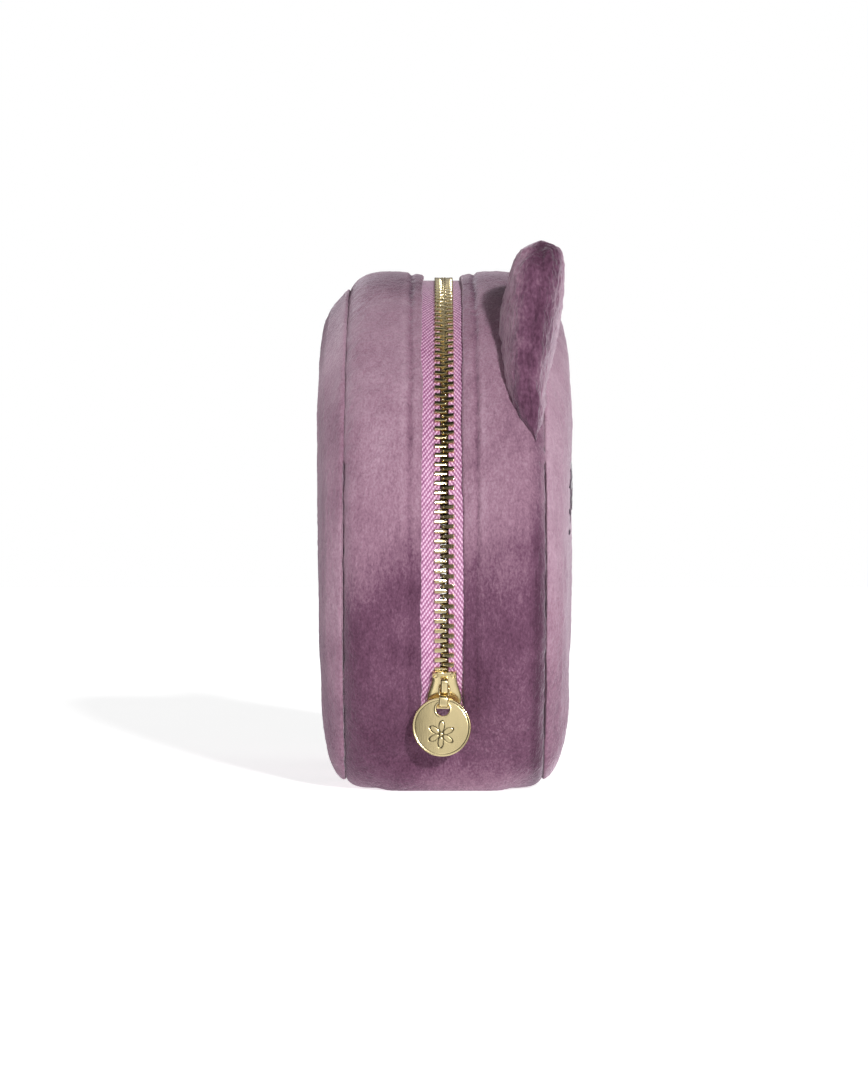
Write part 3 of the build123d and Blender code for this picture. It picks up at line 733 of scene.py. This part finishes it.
def zip_tape(name, side, nodes, blend):
    """A tape with a cord along its inner edge; the back one also carries the tab past the slider."""
    rings, half = 420, 20
    a = np.linspace(math.pi + BASE_SEAM_A, -BASE_SEAM_A, rings)[:, None]
    inner = TAPE_EDGE + spread((a - SLIDER_A) * TAPE_R)
    k = np.linspace(0, 1, half)[None, :]
    y_top = inner + (14.0 - inner) * k
    cord = 0.22 * np.exp(-(((y_top - inner) / 0.8) ** 2))
    y = np.concatenate([y_top, y_top[:, ::-1]], 1)
    out = np.concatenate([0.3 + cord, 0 * y_top - 0.3 - cord[:, ::-1]], 1)
    aa = a + 0 * y
    verts, faces = stacked(on_zip(aa, side * y, out))
    uv = np.stack([-aa * TAPE_R, y], -1).reshape(-1, 2)
    side_count = len(faces)
    if side > 0:
        # a tab sewn behind both tapes where they part past the slider
        ta = np.linspace(math.radians(202.5), math.radians(208.9), 24)[:, None]
        ty = np.concatenate([np.linspace(-8.5, 8.5, half), np.linspace(8.5, -8.5, half)])[None, :]
        ta, ty = ta + 0 * ty, ty + 0 * ta
        tab = stacked(on_zip(ta, ty, np.where(np.arange(2 * half) < half, -0.75, -1.35) + 0 * ta))
        verts, faces = merge((verts, faces), tab)
        uv = np.concatenate([uv, np.stack([-ta * TAPE_R, ty], -1).reshape(-1, 2)])
    obj = add_mesh(name, verts, faces, tape_cloth, uv)
    if side > 0:
        obj.data.materials.append(binding_cloth)
        for face in list(obj.data.polygons)[side_count:]:
            face.material_index = 1
    return place(sharpen(obj, 65), "bag", nodes, blend)


zip_tape("tape_front", -1, ["zip_tape_front"], True)
zip_tape("tape_back", 1, ["zip_tape_back"], False)


def prism(outline_2d, levels):
    """A solid from rings of one outline at (height, inset) levels."""
    ring = np.asarray(outline_2d, float)
    edge = np.roll(ring, -1, 0) - np.roll(ring, 1, 0)
    inward = np.stack([-edge[:, 1], edge[:, 0]], -1)
    inward /= np.linalg.norm(inward, axis=1, keepdims=True)
    area = np.sum(ring[:, 0] * np.roll(ring[:, 1], -1) - np.roll(ring[:, 0], -1) * ring[:, 1])
    inward *= np.sign(area)
    rings = [np.column_stack([ring + inward * i, np.full(len(ring), h)]) for h, i in levels]
    return stacked(rings)


TOOTH = [
    (-0.66, 2.80), (-0.55, 2.95), (0.55, 2.95), (0.66, 2.80), (0.66, 0.75), (0.50, 0.35),
    (0.46, -0.05), (0.56, -0.45), (0.42, -0.86), (0.0, -0.95), (-0.42, -0.86), (-0.56, -0.45),
    (-0.46, -0.05), (-0.50, 0.35), (-0.66, 0.75),
]
LAST_TOOTH, OPEN_END_A = 10.2, math.radians(-23.6)
tooth_count = int((SLIDER_A + LAST_TOOTH / TAPE_R - OPEN_END_A) * TAPE_R / PITCH)


def teeth(name, side, nodes, blend):
    """One row of teeth, each clamped over the tape's edge, with a stepped head."""
    shank = prism(TOOTH, [(-1.25, 0.2), (-1.08, 0), (1.05, 0), (1.20, 0.10), (1.25, 0.28)])
    knob = prism(
        [(0.3 * math.cos(t), 0.3 * math.sin(t) - 0.42) for t in np.linspace(0, 2 * np.pi, 8, False)],
        [(1.15, 0.0), (1.36, 0.02), (1.43, 0.12)],
    )
    slope, lag = (0.21, 0) if side < 0 else (0.15, PITCH / 2)
    parts = []
    for number in range(tooth_count):
        past_rear = LAST_TOOTH - lag - number * PITCH
        polar = SLIDER_A + past_rear / TAPE_R
        # the outer faces slope less towards the top of the bag
        lift = slope * (1 - 0.75 * smooth(1.9 * math.sin(polar) - 1.0))
        for points, faces in (shank, knob):
            across = side * (points[:, 1] + spread(past_rear))
            out = points[:, 2] + lift * (points[:, 1] - 1.0) * (points[:, 2] > 0)
            parts.append((on_zip(polar + side * points[:, 0] / TAPE_R, across, out), faces))
    obj = add_mesh(name, *merge(*parts), teeth_metal)
    return place(sharpen(obj), "bag", nodes, blend)


teeth("teeth_front", -1, ["zip_teeth_front"], True)
teeth("teeth_back", 1, ["zip_teeth_back"], False)


def rounded_box(length, width, height, r=0.35):
    """Points and faces of a box with rounded corners and edges, about the origin."""
    ring = []
    for cx, cy, start in ((1, 1, 0), (-1, 1, 90), (-1, -1, 180), (1, -1, 270)):
        for t in (0, 30, 60, 90):
            a = math.radians(start + t)
            ring.append((cx * (length / 2 - r) + r * math.cos(a), cy * (width / 2 - r) + r * math.sin(a)))
    h = height / 2
    levels = [(-h, r), (-h + 0.3 * r, 0.45 * r), (-h + r, 0), (h - r, 0), (h - 0.3 * r, 0.45 * r), (h, r)]
    return prism(ring, levels)


def stop(name, polar, across, width, node, blend):
    points, faces = rounded_box(2.4, width, 2.5)
    p = on_zip(polar + points[:, 0] / TAPE_R, across + points[:, 1], points[:, 2])
    obj = add_mesh(name, p, faces, teeth_metal)
    return place(obj, "bag", [node], blend)


TOP_STOP = 13.6
top_stop_a = SLIDER_A + TOP_STOP / TAPE_R
top_stop_y = TAPE_EDGE + spread(TOP_STOP) + 0.3
stop("stop_top_front", top_stop_a, -top_stop_y, 2.4, "top_stop_front", True)
stop("stop_top_back", top_stop_a, top_stop_y, 2.4, "top_stop_back", False)
stop("stop_bottom", OPEN_END_A - PITCH / TAPE_R, 0.0, 6.4, "bottom_stop", False)

# --- slider ---
slider_mid = SLIDER_A + SLIDER_LENGTH / 2 / TAPE_R
slider_t = np.array([-math.sin(slider_mid), 0, math.cos(slider_mid)])
slider_n = np.array([math.cos(slider_mid), 0, math.sin(slider_mid)])
slider_0 = np.array([TAPE_R * math.cos(slider_mid), 0, HEAD_Z + TAPE_R * math.sin(slider_mid)])


def on_slider(p):
    """From (along past the narrow end, across to the back, out) to the part's frame."""
    p = np.asarray(p, float)
    along = p[..., 0] - SLIDER_LENGTH / 2
    return (
        slider_0
        + along[..., None] * slider_t
        + p[..., 1][..., None] * np.array([0, 1, 0])
        + p[..., 2][..., None] * slider_n
    )


REAR_HALF = 3.7
SHOULDER_AT = 8.5
shoulder_half = REAR_HALF + float(spread(SHOULDER_AT))


def slider_side():
    """Half outline of the slider's plates, from the narrow end to the wide end."""
    pts = [(0.25, 0.0), (0.05, 0.5), (0.0, 1.2), (0.0, REAR_HALF - 0.35), (0.12, REAR_HALF - 0.08)]
    pts += [(0.4, REAR_HALF), (1.3, REAR_HALF), (2.2, REAR_HALF - 0.02)]
    for t in np.linspace(0, 1, 9)[1:]:
        at = 2.2 + (SHOULDER_AT - 2.2) * t
        pts.append((at, REAR_HALF + (shoulder_half - REAR_HALF) * float(smooth(t * 0.92 + 0.02))))
    for t in np.linspace(0, 1, 8)[1:]:
        a = t * math.pi / 2
        pts.append((SHOULDER_AT + 3.3 * math.sin(a), 3.0 + (shoulder_half - 3.0) * math.cos(a) ** 0.8))
    pts += [(12.0, 2.2), (12.0, 0.8)]
    return pts


def symmetric(half):
    return half + [(x, -y) for x, y in reversed(half) if abs(y) > 1e-6]


def crowned_plate(half, low, high, crown):
    """A plate with rounded edges whose outer face rises a little to its middle."""
    ring = np.array(symmetric(half))
    middle = np.column_stack([np.clip(ring[:, 0], 2.5, 9.5), ring[:, 1] * 0])
    rings = []
    for k, h in ((0.05, low), (0.0, low + 0.2), (0.0, high - 0.3), (0.03, high - 0.1), (0.09, high),
                 (0.30, high + 0.55 * crown), (0.6, high + 0.9 * crown), (0.93, high + crown)):
        rings.append(np.column_stack([ring * (1 - k) + middle * k, np.full(len(ring), h)]))
    return stacked(rings)


plate_half = slider_side()
parts = [crowned_plate(plate_half, 1.5, 2.5, 0.28)]
under, under_faces = crowned_plate(plate_half, 1.5, 2.5, 0.1)
parts.append((under * (1, 1, -1), under_faces))
for side in (1, -1):
    rail = [(0.3, REAR_HALF - 0.08), (2.5, REAR_HALF - 0.06), (8.4, shoulder_half - 0.1),
            (8.4, shoulder_half - 0.68), (2.5, REAR_HALF - 0.6), (0.3, REAR_HALF - 0.6)]
    rail = [(x, side * y) for x, y in rail]
    for low, high in ((0.62, 1.6), (-1.6, -0.62)):
        parts.append(prism(rail, [(low, 0.08), (low + 0.1, 0), (high - 0.05, 0), (high, 0.02)]))
    # cast lug on the narrow end's corner, with a punched pit
    t = np.linspace(0, 2 * np.pi, 20, False)
    lug = np.column_stack([0.98 + 0.95 * np.cos(t), side * (REAR_HALF - 1.0) + 0.92 * np.sin(t)])
    parts.append(prism(lug, [(2.3, 0), (2.85, 0), (2.98, 0.1), (3.0, 0.25), (2.9, 0.38), (1.9, 0.44)]))
wedge = [(7.7, 0.0), (11.5, 0.9), (11.7, 0.5), (11.7, -0.5), (11.5, -0.9)]
parts.append(prism(wedge, [(-1.55, 0), (1.55, 0)]))
points, faces = merge(*parts)
slider_obj = sharpen(add_mesh("slider", on_slider(points), faces, pull_metal), 45)
place(slider_obj, "slider", ["slider_body"])


def sweep(path, side_dir, half_wide, half_thick, power=0.55, closed=False, nv=20):
    """A strap of rounded section along a flat path; side_dir is square to the path's plane."""
    path = np.asarray(path, float)
    side_dir = np.asarray(side_dir, float)
    ahead = np.roll(path, -1, 0) - np.roll(path, 1, 0) if closed else np.gradient(path, axis=0)
    ahead /= np.linalg.norm(ahead, axis=1, keepdims=True)
    up = np.cross(side_dir, ahead)
    t = np.linspace(0, 2 * np.pi, nv, endpoint=False)
    c = np.sign(np.cos(t)) * np.abs(np.cos(t)) ** power
    w = np.sign(np.sin(t)) * np.abs(np.sin(t)) ** power
    return (
        path[:, None, :]
        + half_wide * c[None, :, None] * side_dir
        + half_thick * w[None, :, None] * up[:, None, :]
    )


def round_path(corners, radius, closed, steps=7):
    """Points along a flat path with rounded corners."""
    corners = np.asarray(corners, float)
    count = len(corners)
    pts = []
    for i in range(count):
        here = corners[i]
        if not closed and i in (0, count - 1):
            pts.append(here)
            continue
        before, after = corners[i - 1], corners[(i + 1) % count]
        a = here + (before - here) / np.linalg.norm(before - here) * radius
        b = here + (after - here) / np.linalg.norm(after - here) * radius
        for t in np.linspace(0, 1, steps):
            pts.append((1 - t) ** 2 * a + 2 * t * (1 - t) * here + t**2 * b)
    return np.array(pts)


arch = round_path([(1.65, 0, 2.1), (1.65, 0, 5.05), (5.75, 0, 5.05), (5.75, 0, 2.1)], 1.0, False, 9)
strap = sweep(arch, (0, 1, 0), 1.15, 0.45, 0.6)
place(tube("bridge", on_slider(strap), pull_metal), "slider", ["slider_bridge"])

# --- pull link and disc ---
pivot = on_slider(np.array([4.6, 0, 3.75]))


PULL_LEAN, DISC_TURN = 4.0, 7.0


def hang(p, turn=0.0):
    """Turns a piece of the pull about its length, then leans it to one side as the whole pull hangs."""
    c, s = math.cos(math.radians(turn)), math.sin(math.radians(turn))
    x, y, z = p[..., 0] * c + p[..., 1] * s, p[..., 1] * c - p[..., 0] * s, p[..., 2]
    c, s = math.cos(math.radians(PULL_LEAN)), math.sin(math.radians(PULL_LEAN))
    return np.stack([x, y * c - z * s, y * s + z * c], -1)


eye_path = round_path([(0, -1.6, 0.1), (0, 1.6, 0.1), (0, 1.45, -2.2), (0, -1.45, -2.2)], 0.8, True)
loop_path = round_path([(-1.4, 0, -2.2), (1.4, 0, -2.2), (1.4, 0, -5.5), (-1.4, 0, -5.5)], 1.15, True)
eye = sweep(eye_path, (1, 0, 0), 0.42, 0.29, 0.7, True)
loop = sweep(loop_path, (0, 1, 0), 1.35, 0.3, 0.5, True)
link_parts = [(g.reshape(-1, 3), grid_faces(*g.shape[:2], True, True)) for g in (eye, loop)]
points, faces = merge(*link_parts)
place(add_mesh("link", hang(points) + pivot, faces, pull_metal), "pull_link", ["pull_link"])

DISC_R, DISC_HALF, HOLE_R, HOLE_UP = 8.85, 0.55, 1.98, 5.3
FLOWER = 1.35
disc_centre = np.array([0, 0, -6.3 - HOLE_UP])


def petals(x, y):
    """Distance from the engraved lines of a plain six-petal flower with a small ring at its heart."""
    x, y = x / FLOWER, y / FLOWER + 1.6
    r, a = np.hypot(x, y), np.arctan2(x, y)
    a = np.abs((a + np.pi / 6) % (np.pi / 3) - np.pi / 6)
    u, v = r * np.cos(a) - 1.75, r * np.sin(a)
    ring = np.abs(np.hypot(u / 1.25, v / 0.62) - 1) * 0.7
    return np.minimum(ring, np.abs(r - 0.42)) * FLOWER


def disc_face(x, y):
    """Height of the disc's outer face: a soft dome inside a polished raised rim."""
    rho = np.hypot(x, y)
    edge = DISC_R - rho
    rise = 0.30 * (1 - (np.clip(rho, 0, DISC_R - 0.8) / (DISC_R - 0.8)) ** 2)
    rim = 0.05 * np.exp(-(((edge - 0.36) / 0.24) ** 2))
    step = -0.07 * np.exp(-(((edge - 0.78) / 0.10) ** 2))
    hole = np.hypot(x, y - HOLE_UP)
    lip = 0.05 * np.exp(-(((hole - HOLE_R - 0.35) / 0.22) ** 2))
    roll = -0.5 * np.clip((0.22 - edge) / 0.22, 0, 1) ** 2 - 0.3 * np.clip((2.12 - hole) / 0.15, 0, 1) ** 2
    return rise + rim + step + lip + roll


def make_disc():
    nu, nv = 320, 130
    phi = np.linspace(0, 2 * np.pi, nu, endpoint=False)[:, None]
    t = np.linspace(0, 1, nv)[None, :]
    t = t - 0.13 * np.sin(2 * np.pi * t)
    c, s = np.cos(phi), np.sin(phi)
    reach = -HOLE_UP * s + np.sqrt(DISC_R**2 - (HOLE_UP * c) ** 2)
    r = HOLE_R + (reach - HOLE_R) * t
    x, y = r * c, HOLE_UP + r * s
    line = np.exp(-((petals(x, y) / 0.11) ** 2))
    front = DISC_HALF + disc_face(x, y) - 0.11 * line
    back = -DISC_HALF - 0.5 * disc_face(x, y)
    x2 = np.concatenate([x, x[:, ::-1]], 1)
    y2 = np.concatenate([y, y[:, ::-1]], 1)
    out = np.concatenate([front, back[:, ::-1]], 1)
    p = hang(np.stack([-out, -x2, y2], -1) + disc_centre, DISC_TURN) + pivot
    obj = tube("disc", p, disc_metal, True, engraved=np.concatenate([line, 0 * line], 1))
    return place(obj, "pull_disc", ["pull_disc"])


make_disc()

# --- ears ---
EAR_ROOT, EAR_ROOT_R = (-58.0, 126.0), 33.0
EAR_TIP, EAR_TIP_R = (-73.0, 154.5), 13.5
EAR_TOP, EAR_FOOT = 168.2, 103.0
EAR_BULGE = 3.8  # of the outer edge at the foot
EAR_STEPS = [
    103, 106, 107.5, 111.2, 116.7, 122.2, 127.7, 133.2,
    138.8, 144.3, 149.8, 155.4, 160.9, 163.7, 166.2, 168.2,
]
ear_half = curve_through(
    EAR_STEPS, [0.3, 0.8, 1.8, 4.0, 6.1, 7.1, 7.75, 8.5, 9.0, 9.3, 9.5, 9.3, 8.3, 7.1, 5.4, 0.3], 0.9
)
ear_mid = curve_through(
    EAR_STEPS,
    [
        -28, -27.7, -27.2, -26.3, -25.6, -24.9, -24.95, -25.3,
        -25.8, -26.5, -27.4, -28.2, -28.9, -29.4, -29.6, -29.6,
    ],
    1.5,
)


def ear_sides(z):
    """Outer and inner edges of the ear's front outline at each height."""
    cx, cz = np.array(EAR_TIP) - EAR_ROOT
    span, lean = math.hypot(cx, cz), math.atan2(cz, cx)
    open_by = math.acos((EAR_ROOT_R - EAR_TIP_R) / span)
    edges = []
    for sign in (1, -1):
        a = lean + sign * open_by
        low = (EAR_ROOT[0] + EAR_ROOT_R * math.cos(a), EAR_ROOT[1] + EAR_ROOT_R * math.sin(a))
        high = (EAR_TIP[0] + EAR_TIP_R * math.cos(a), EAR_TIP[1] + EAR_TIP_R * math.sin(a))
        root = EAR_ROOT[0] - sign * np.sqrt(np.clip(EAR_ROOT_R**2 - (z - EAR_ROOT[1]) ** 2, 0.01, None))
        tip = EAR_TIP[0] - sign * np.sqrt(np.clip((EAR_TIP_R + 0.2) ** 2 - (z - EAR_TIP[1]) ** 2, 0.01, None))
        line = low[0] + (high[0] - low[0]) * (z - low[1]) / (high[1] - low[1])
        edges.append(np.where(z < low[1], root, np.where(z < high[1], line, tip)))
    return edges


def plush_ear(hand, sign):
    """A stuffed ear: pinched to nothing at its outer seam's foot, with long brushed pile."""
    nu, nv = 250, 132
    k = np.linspace(0, 1, nv)[None, :]
    z = EAR_FOOT + (EAR_TOP - EAR_FOOT) * (1 - (1 - k) ** 1.7)
    t = np.linspace(0, 2 * np.pi, nu, endpoint=False)[:, None]
    outer, inner = ear_sides(z)
    outer = outer - EAR_BULGE * (1 - smooth((z - EAR_FOOT) / 18))
    middle, reach = (outer + inner) / 2, (inner - outer) / 2
    half = ear_half(z)
    c, s = np.cos(t), np.sin(t)
    x = middle - reach * np.sign(c) * np.abs(c) ** 0.95
    y = ear_mid(z) + half * np.sign(s) * np.abs(s) ** 0.80
    zz = z + 0 * x
    p = np.stack([x, y + 0 * x, zz], -1)
    n = grid_normals(p, True, False)
    away = p - np.stack([middle + 0 * x, ear_mid(z) + 0 * x, np.minimum(zz, 150)], -1)
    n *= np.sign(np.sum(n * away))
    seam = np.abs(y - ear_mid(z)) / np.maximum(half, 0.5)
    crease = np.exp(-((seam * half / 1.5) ** 2)) * (np.abs(c) > 0.5)
    long_pile = p * (1, 1, 0.75)
    out = 0.55 * noise(p, 15.0, 21) + 0.30 * noise(p, 6.5, 22)
    out += 0.30 * noise(long_pile, 2.2, 23) + 0.24 * noise(long_pile, 1.1, 24)
    out -= 1.0 * crease * smooth(half / 4)
    out = out * smooth((EAR_TOP - z) / 3)
    p = p + n * (out * smooth(half / 3))[..., None]
    # the foot sits just under the head's surface
    depth_y = np.abs(p[..., 1])
    shoulder = np.linspace(1.5, PANEL_SPAN, 80)
    on_panel = np.interp(depth_y, panel_out(shoulder), panel_in(shoulder))
    under = np.where(depth_y < SEAM_Y, crowned(depth_y), on_panel)
    floor_r = HEAD_R - under - 2.3
    dx, dz = p[..., 0], p[..., 2] - HEAD_Z
    r = np.hypot(dx, dz)
    grow = np.maximum(floor_r / r, 1)
    p[..., 0], p[..., 2] = dx * grow, HEAD_Z + dz * grow
    p[..., 0] *= sign
    faces = grid_faces(nu, nv, True, False)
    faces.append([i * nv for i in range(nu)])
    faces.append([i * nv + nv - 1 for i in range(nu)])
    # a dark band down the ear's edges along its seam crease, partly pile parted at the seam and partly
    # painted shade in the crease; lighter towards the foot; random tone
    lean = (ear_mid(z) - y) / np.maximum(half, 0.5)
    rim = smooth((np.abs(c) - 0.2) / 0.5)
    shift = 0.16 - 0.25 * smooth((150 - z) / 40)
    nap = 0.13 + 0.10 * (1 - smooth((z - 112) / 34)) - 0.46 * rim * np.exp(-(((lean - shift) / 0.72) ** 4))
    nap += 0.14 * noise(p, 13.0, 37) + 0.10 * noise(p, 5.0, 38)
    obj = add_mesh(f"ear_{hand}", p.reshape(-1, 3), faces, ear_cloth, nap=nap)
    nodes = [f"ear_{hand}_front", f"ear_{hand}_back", f"ear_{hand}_filling"]
    return place(obj, "front_flap", nodes)


plush_ear("left", 1)
plush_ear("right", -1)

# --- embroidery: satin stitches laid across each stroke ---


face = bpy.data.objects["panel_front"].data
face_surface = BVHTree.FromPolygons([v.co / MM for v in face.vertices], [p.vertices for p in face.polygons])


def face_y(x, z):
    """Where the front panel's plush surface stands at this place, seen from the front."""
    return face_surface.ray_cast(Vector((x, -60, z)), Vector((0, 1, 0)))[0].y


def satin(path, width, gap=0.36, over=0.36):
    """Threads laid side by side across a stroke that follows path, as points and faces."""
    path = np.asarray(path, float)
    seg = np.linalg.norm(np.diff(path, axis=0), axis=1)
    run = np.concatenate([[0], np.cumsum(seg)])
    at = np.arange(gap / 2, run[-1], gap)
    x, z = np.interp(at, run, path[:, 0]), np.interp(at, run, path[:, 1])
    ahead = np.stack([np.gradient(x), np.gradient(z)], -1)
    ahead /= np.linalg.norm(ahead, axis=1, keepdims=True)
    ends = smooth(np.minimum(at, run[-1] - at) / (0.5 * np.min(width)) + 0.35)
    w = np.interp(at, run, np.broadcast_to(width, run.shape)) / 2 * ends
    across = np.linspace(-1, 1, 7)
    ring = np.linspace(0, 2 * np.pi, 5, endpoint=False)
    parts = []
    for i in range(len(at)):
        side = np.array([-ahead[i, 1], ahead[i, 0]])
        line = np.array([x[i], z[i]]) + across[:, None] * w[i] * side + 0.12 * across[:, None] * ahead[i]
        rise = over * np.sqrt(np.clip(1.02 - across**2, 0, None)) - 0.22
        y = np.array([face_y(*point) for point in line]) - rise
        centre = np.stack([line[:, 0], y, line[:, 1]], -1)
        r = 0.20 * np.sqrt(np.clip(1.15 - across**2, 0.05, None))
        along = np.array([ahead[i, 0], 0, ahead[i, 1]])
        rings = (
            centre[:, None, :]
            + (r[:, None] * np.cos(ring)[None, :])[..., None] * along
            + (r[:, None] * np.sin(ring)[None, :])[..., None] * np.array([0, -1, 0])
        )
        parts.append(stacked(rings))
    return merge(*parts)


def arc(cx, cz, r, start, end, steps=40):
    """Points of an arc in the face's plane, between two angles in degrees."""
    a = np.radians(np.linspace(start, end, steps))
    return np.stack([cx + r * np.cos(a), cz + r * np.sin(a)], -1)


def embroider(name, strokes, node, materials):
    """One embroidered motif; strokes are (path, width, which material)."""
    parts = [satin(path, width) for path, width, _ in strokes]
    points, faces = merge(*parts)
    obj = add_mesh(name, points, faces, materials[0])
    for extra in materials[1:]:
        obj.data.materials.append(extra)
    index, first = np.zeros(len(obj.data.polygons), np.int32), 0
    for (its_points, its_faces), (_, _, which) in zip(parts, strokes):
        index[first : first + len(its_faces)] = which
        first += len(its_faces)
    obj.data.polygons.foreach_set("material_index", index)
    return place(obj, "bag", [node], True)


EYE_X, EYE_Z, EYE_R = 54.0, 103.0, 14.5
for hand, sign in (("left", -1), ("right", 1)):
    cx = sign * EYE_X
    lid = arc(cx, EYE_Z, EYE_R, 198, 342)
    taper = 1.1 + 1.5 * np.sin(np.linspace(0, np.pi, len(lid)))
    strokes = [(lid, taper, 0)]
    for lash, length in ((212, 7), (240, 5), (270, 6.5), (300, 5), (328, 7)):
        a = math.radians(lash)
        curl = arc(cx, EYE_Z, EYE_R, lash, lash)[0]
        tip = curl + length * np.array([math.cos(a + 0.22 * math.cos(a)), math.sin(a + 0.22 * math.cos(a))])
        strokes.append((np.linspace(curl, tip, 8), np.linspace(1.7, 0.7, 8), 0))
    strokes.append((arc(cx, EYE_Z + 3.4, EYE_R - 1.2, 205, 335), 1.3, 1))
    embroider(f"eye_{hand}", strokes, f"eye_{hand}_embroidery", [dark_thread, silver_thread])
    strokes = []
    for height, slope in ((84.7, 8), (79.4, -4)):
        a = math.radians(slope)
        reach = np.array([6.6 * math.cos(a), 6.6 * math.sin(a)]) * (sign, 1)
        middle = np.array([sign * 68.0, height])
        strokes.append((np.linspace(middle - reach, middle + reach, 12), 1.8, 0))
    embroider(f"whiskers_{hand}", strokes, f"whiskers_{hand}_embroidery", [dark_thread])

strokes = [(np.array([(0, 82.2), (0, 73.6)]), np.array([14.0, 2.2]), 0)]
embroider("nose", strokes, "nose_embroidery", [rose_thread])
MOUTH_Z = 68.25
strokes = [(arc(-9, MOUTH_Z, 9, 210, 360), 2.2, 0), (arc(9, MOUTH_Z, 9, 180, 330), 2.2, 0)]
strokes.append((np.array([(0, MOUTH_Z + 4.6), (0, MOUTH_Z)]), 2.0, 0))
embroider("mouth", strokes, "mouth_embroidery", [dark_thread])

# --- stage, light and camera ---
bpy.ops.mesh.primitive_plane_add(size=8.0, location=(0, 0, 0))
ground = bpy.context.object
ground.name = "floor"
paper = Nodes("paper")
grain = paper.noise(paper.coords(), 30, 2)
paper.set(Base_Color=paper.ramp(grain, [(0.2, (0.86, 0.86, 0.86)), (0.8, (0.90, 0.90, 0.90))]), Roughness=0.9)
paper.set(Emission_Color=(1, 1, 1, 1), Emission_Strength=0.7)
ground.data.materials.append(paper.material)
ground.visible_glossy = False

world = bpy.data.worlds.new("studio")
bpy.context.scene.world = world
sky = Nodes(world)
# how bright the studio is by direction, from square to the bag's front (0) to its back (1)
CARDS = [
    (0.0, 0.22), (0.20, 0.20), (0.31, 0.60), (0.42, 0.66), (0.50, 0.52),
    (0.56, 0.50), (0.63, 1.00), (0.665, 0.50), (0.70, 0.07),
]
way = sky.add("ShaderNodeSeparateXYZ", {"Vector": sky.coords("Generated")}).outputs
side_on = sky.math("MULTIPLY_ADD", way["Y"], 0.5, 0.5)
cards = sky.ramp(side_on, [(at, (value, value, value)) for at, value in CARDS])
# no card hangs overhead, so the middle of the zip mirrors the dark of the studio
below = sky.math("MAXIMUM", sky.math("MULTIPLY_ADD", way["Z"], -0.9, 0.85), 1.0)
overhead = sky.math("MULTIPLY_ADD", way["X"], -0.24, sky.math("MULTIPLY", way["Z"], 0.97))
gap = sky.ramp(overhead, [(0.68, (1, 1, 1)), (0.86, (0.06, 0.06, 0.06))])
# matt surfaces get less of the studio's light than reflections do
rays = sky.add("ShaderNodeLightPath").outputs
share = sky.math("MULTIPLY", below, sky.math("MULTIPLY_ADD", rays["Is Glossy Ray"], 0.36, 0.64))
light = sky.mix(1.0, sky.mix(1.0, cards, gap, "MULTIPLY"), share, "MULTIPLY")
background = sky.tree.nodes["Background"]
sky.put(background.inputs["Color"], sky.mix(rays["Is Camera Ray"], light, (1, 1, 1)))
background.inputs["Strength"].default_value = 1.0


def sun(name, towards, strength, size_degrees):
    """A distant lamp that stands in the direction towards from the bag."""
    data = bpy.data.lights.new(name, "SUN")
    data.energy = strength
    data.angle = math.radians(size_degrees)
    lamp = bpy.data.objects.new(name, data)
    bpy.context.collection.objects.link(lamp)
    lamp.rotation_euler = Vector(towards).to_track_quat("Z", "Y").to_euler()


sun("key", (-1.0, -0.32, 0.32), 2.85, 4)
sun("fill", (0.15, 0.95, 0.35), 0.70, 25)
sun("bounce", (0.25, -1.0, 0.40), 0.30, 60)

camera_data = bpy.data.cameras.new("camera")
camera = bpy.data.objects.new("camera", camera_data)
bpy.context.collection.objects.link(camera)
camera.location = (-0.998, 0.0031, 0.076)
camera.rotation_euler = (math.radians(90), 0, math.radians(-90))
camera_data.lens = 100.5
camera_data.sensor_width = 36
camera_data.clip_start, camera_data.clip_end = 0.05, 20
scene = bpy.context.scene
scene.camera = camera
scene.view_settings.view_transform = "Standard"
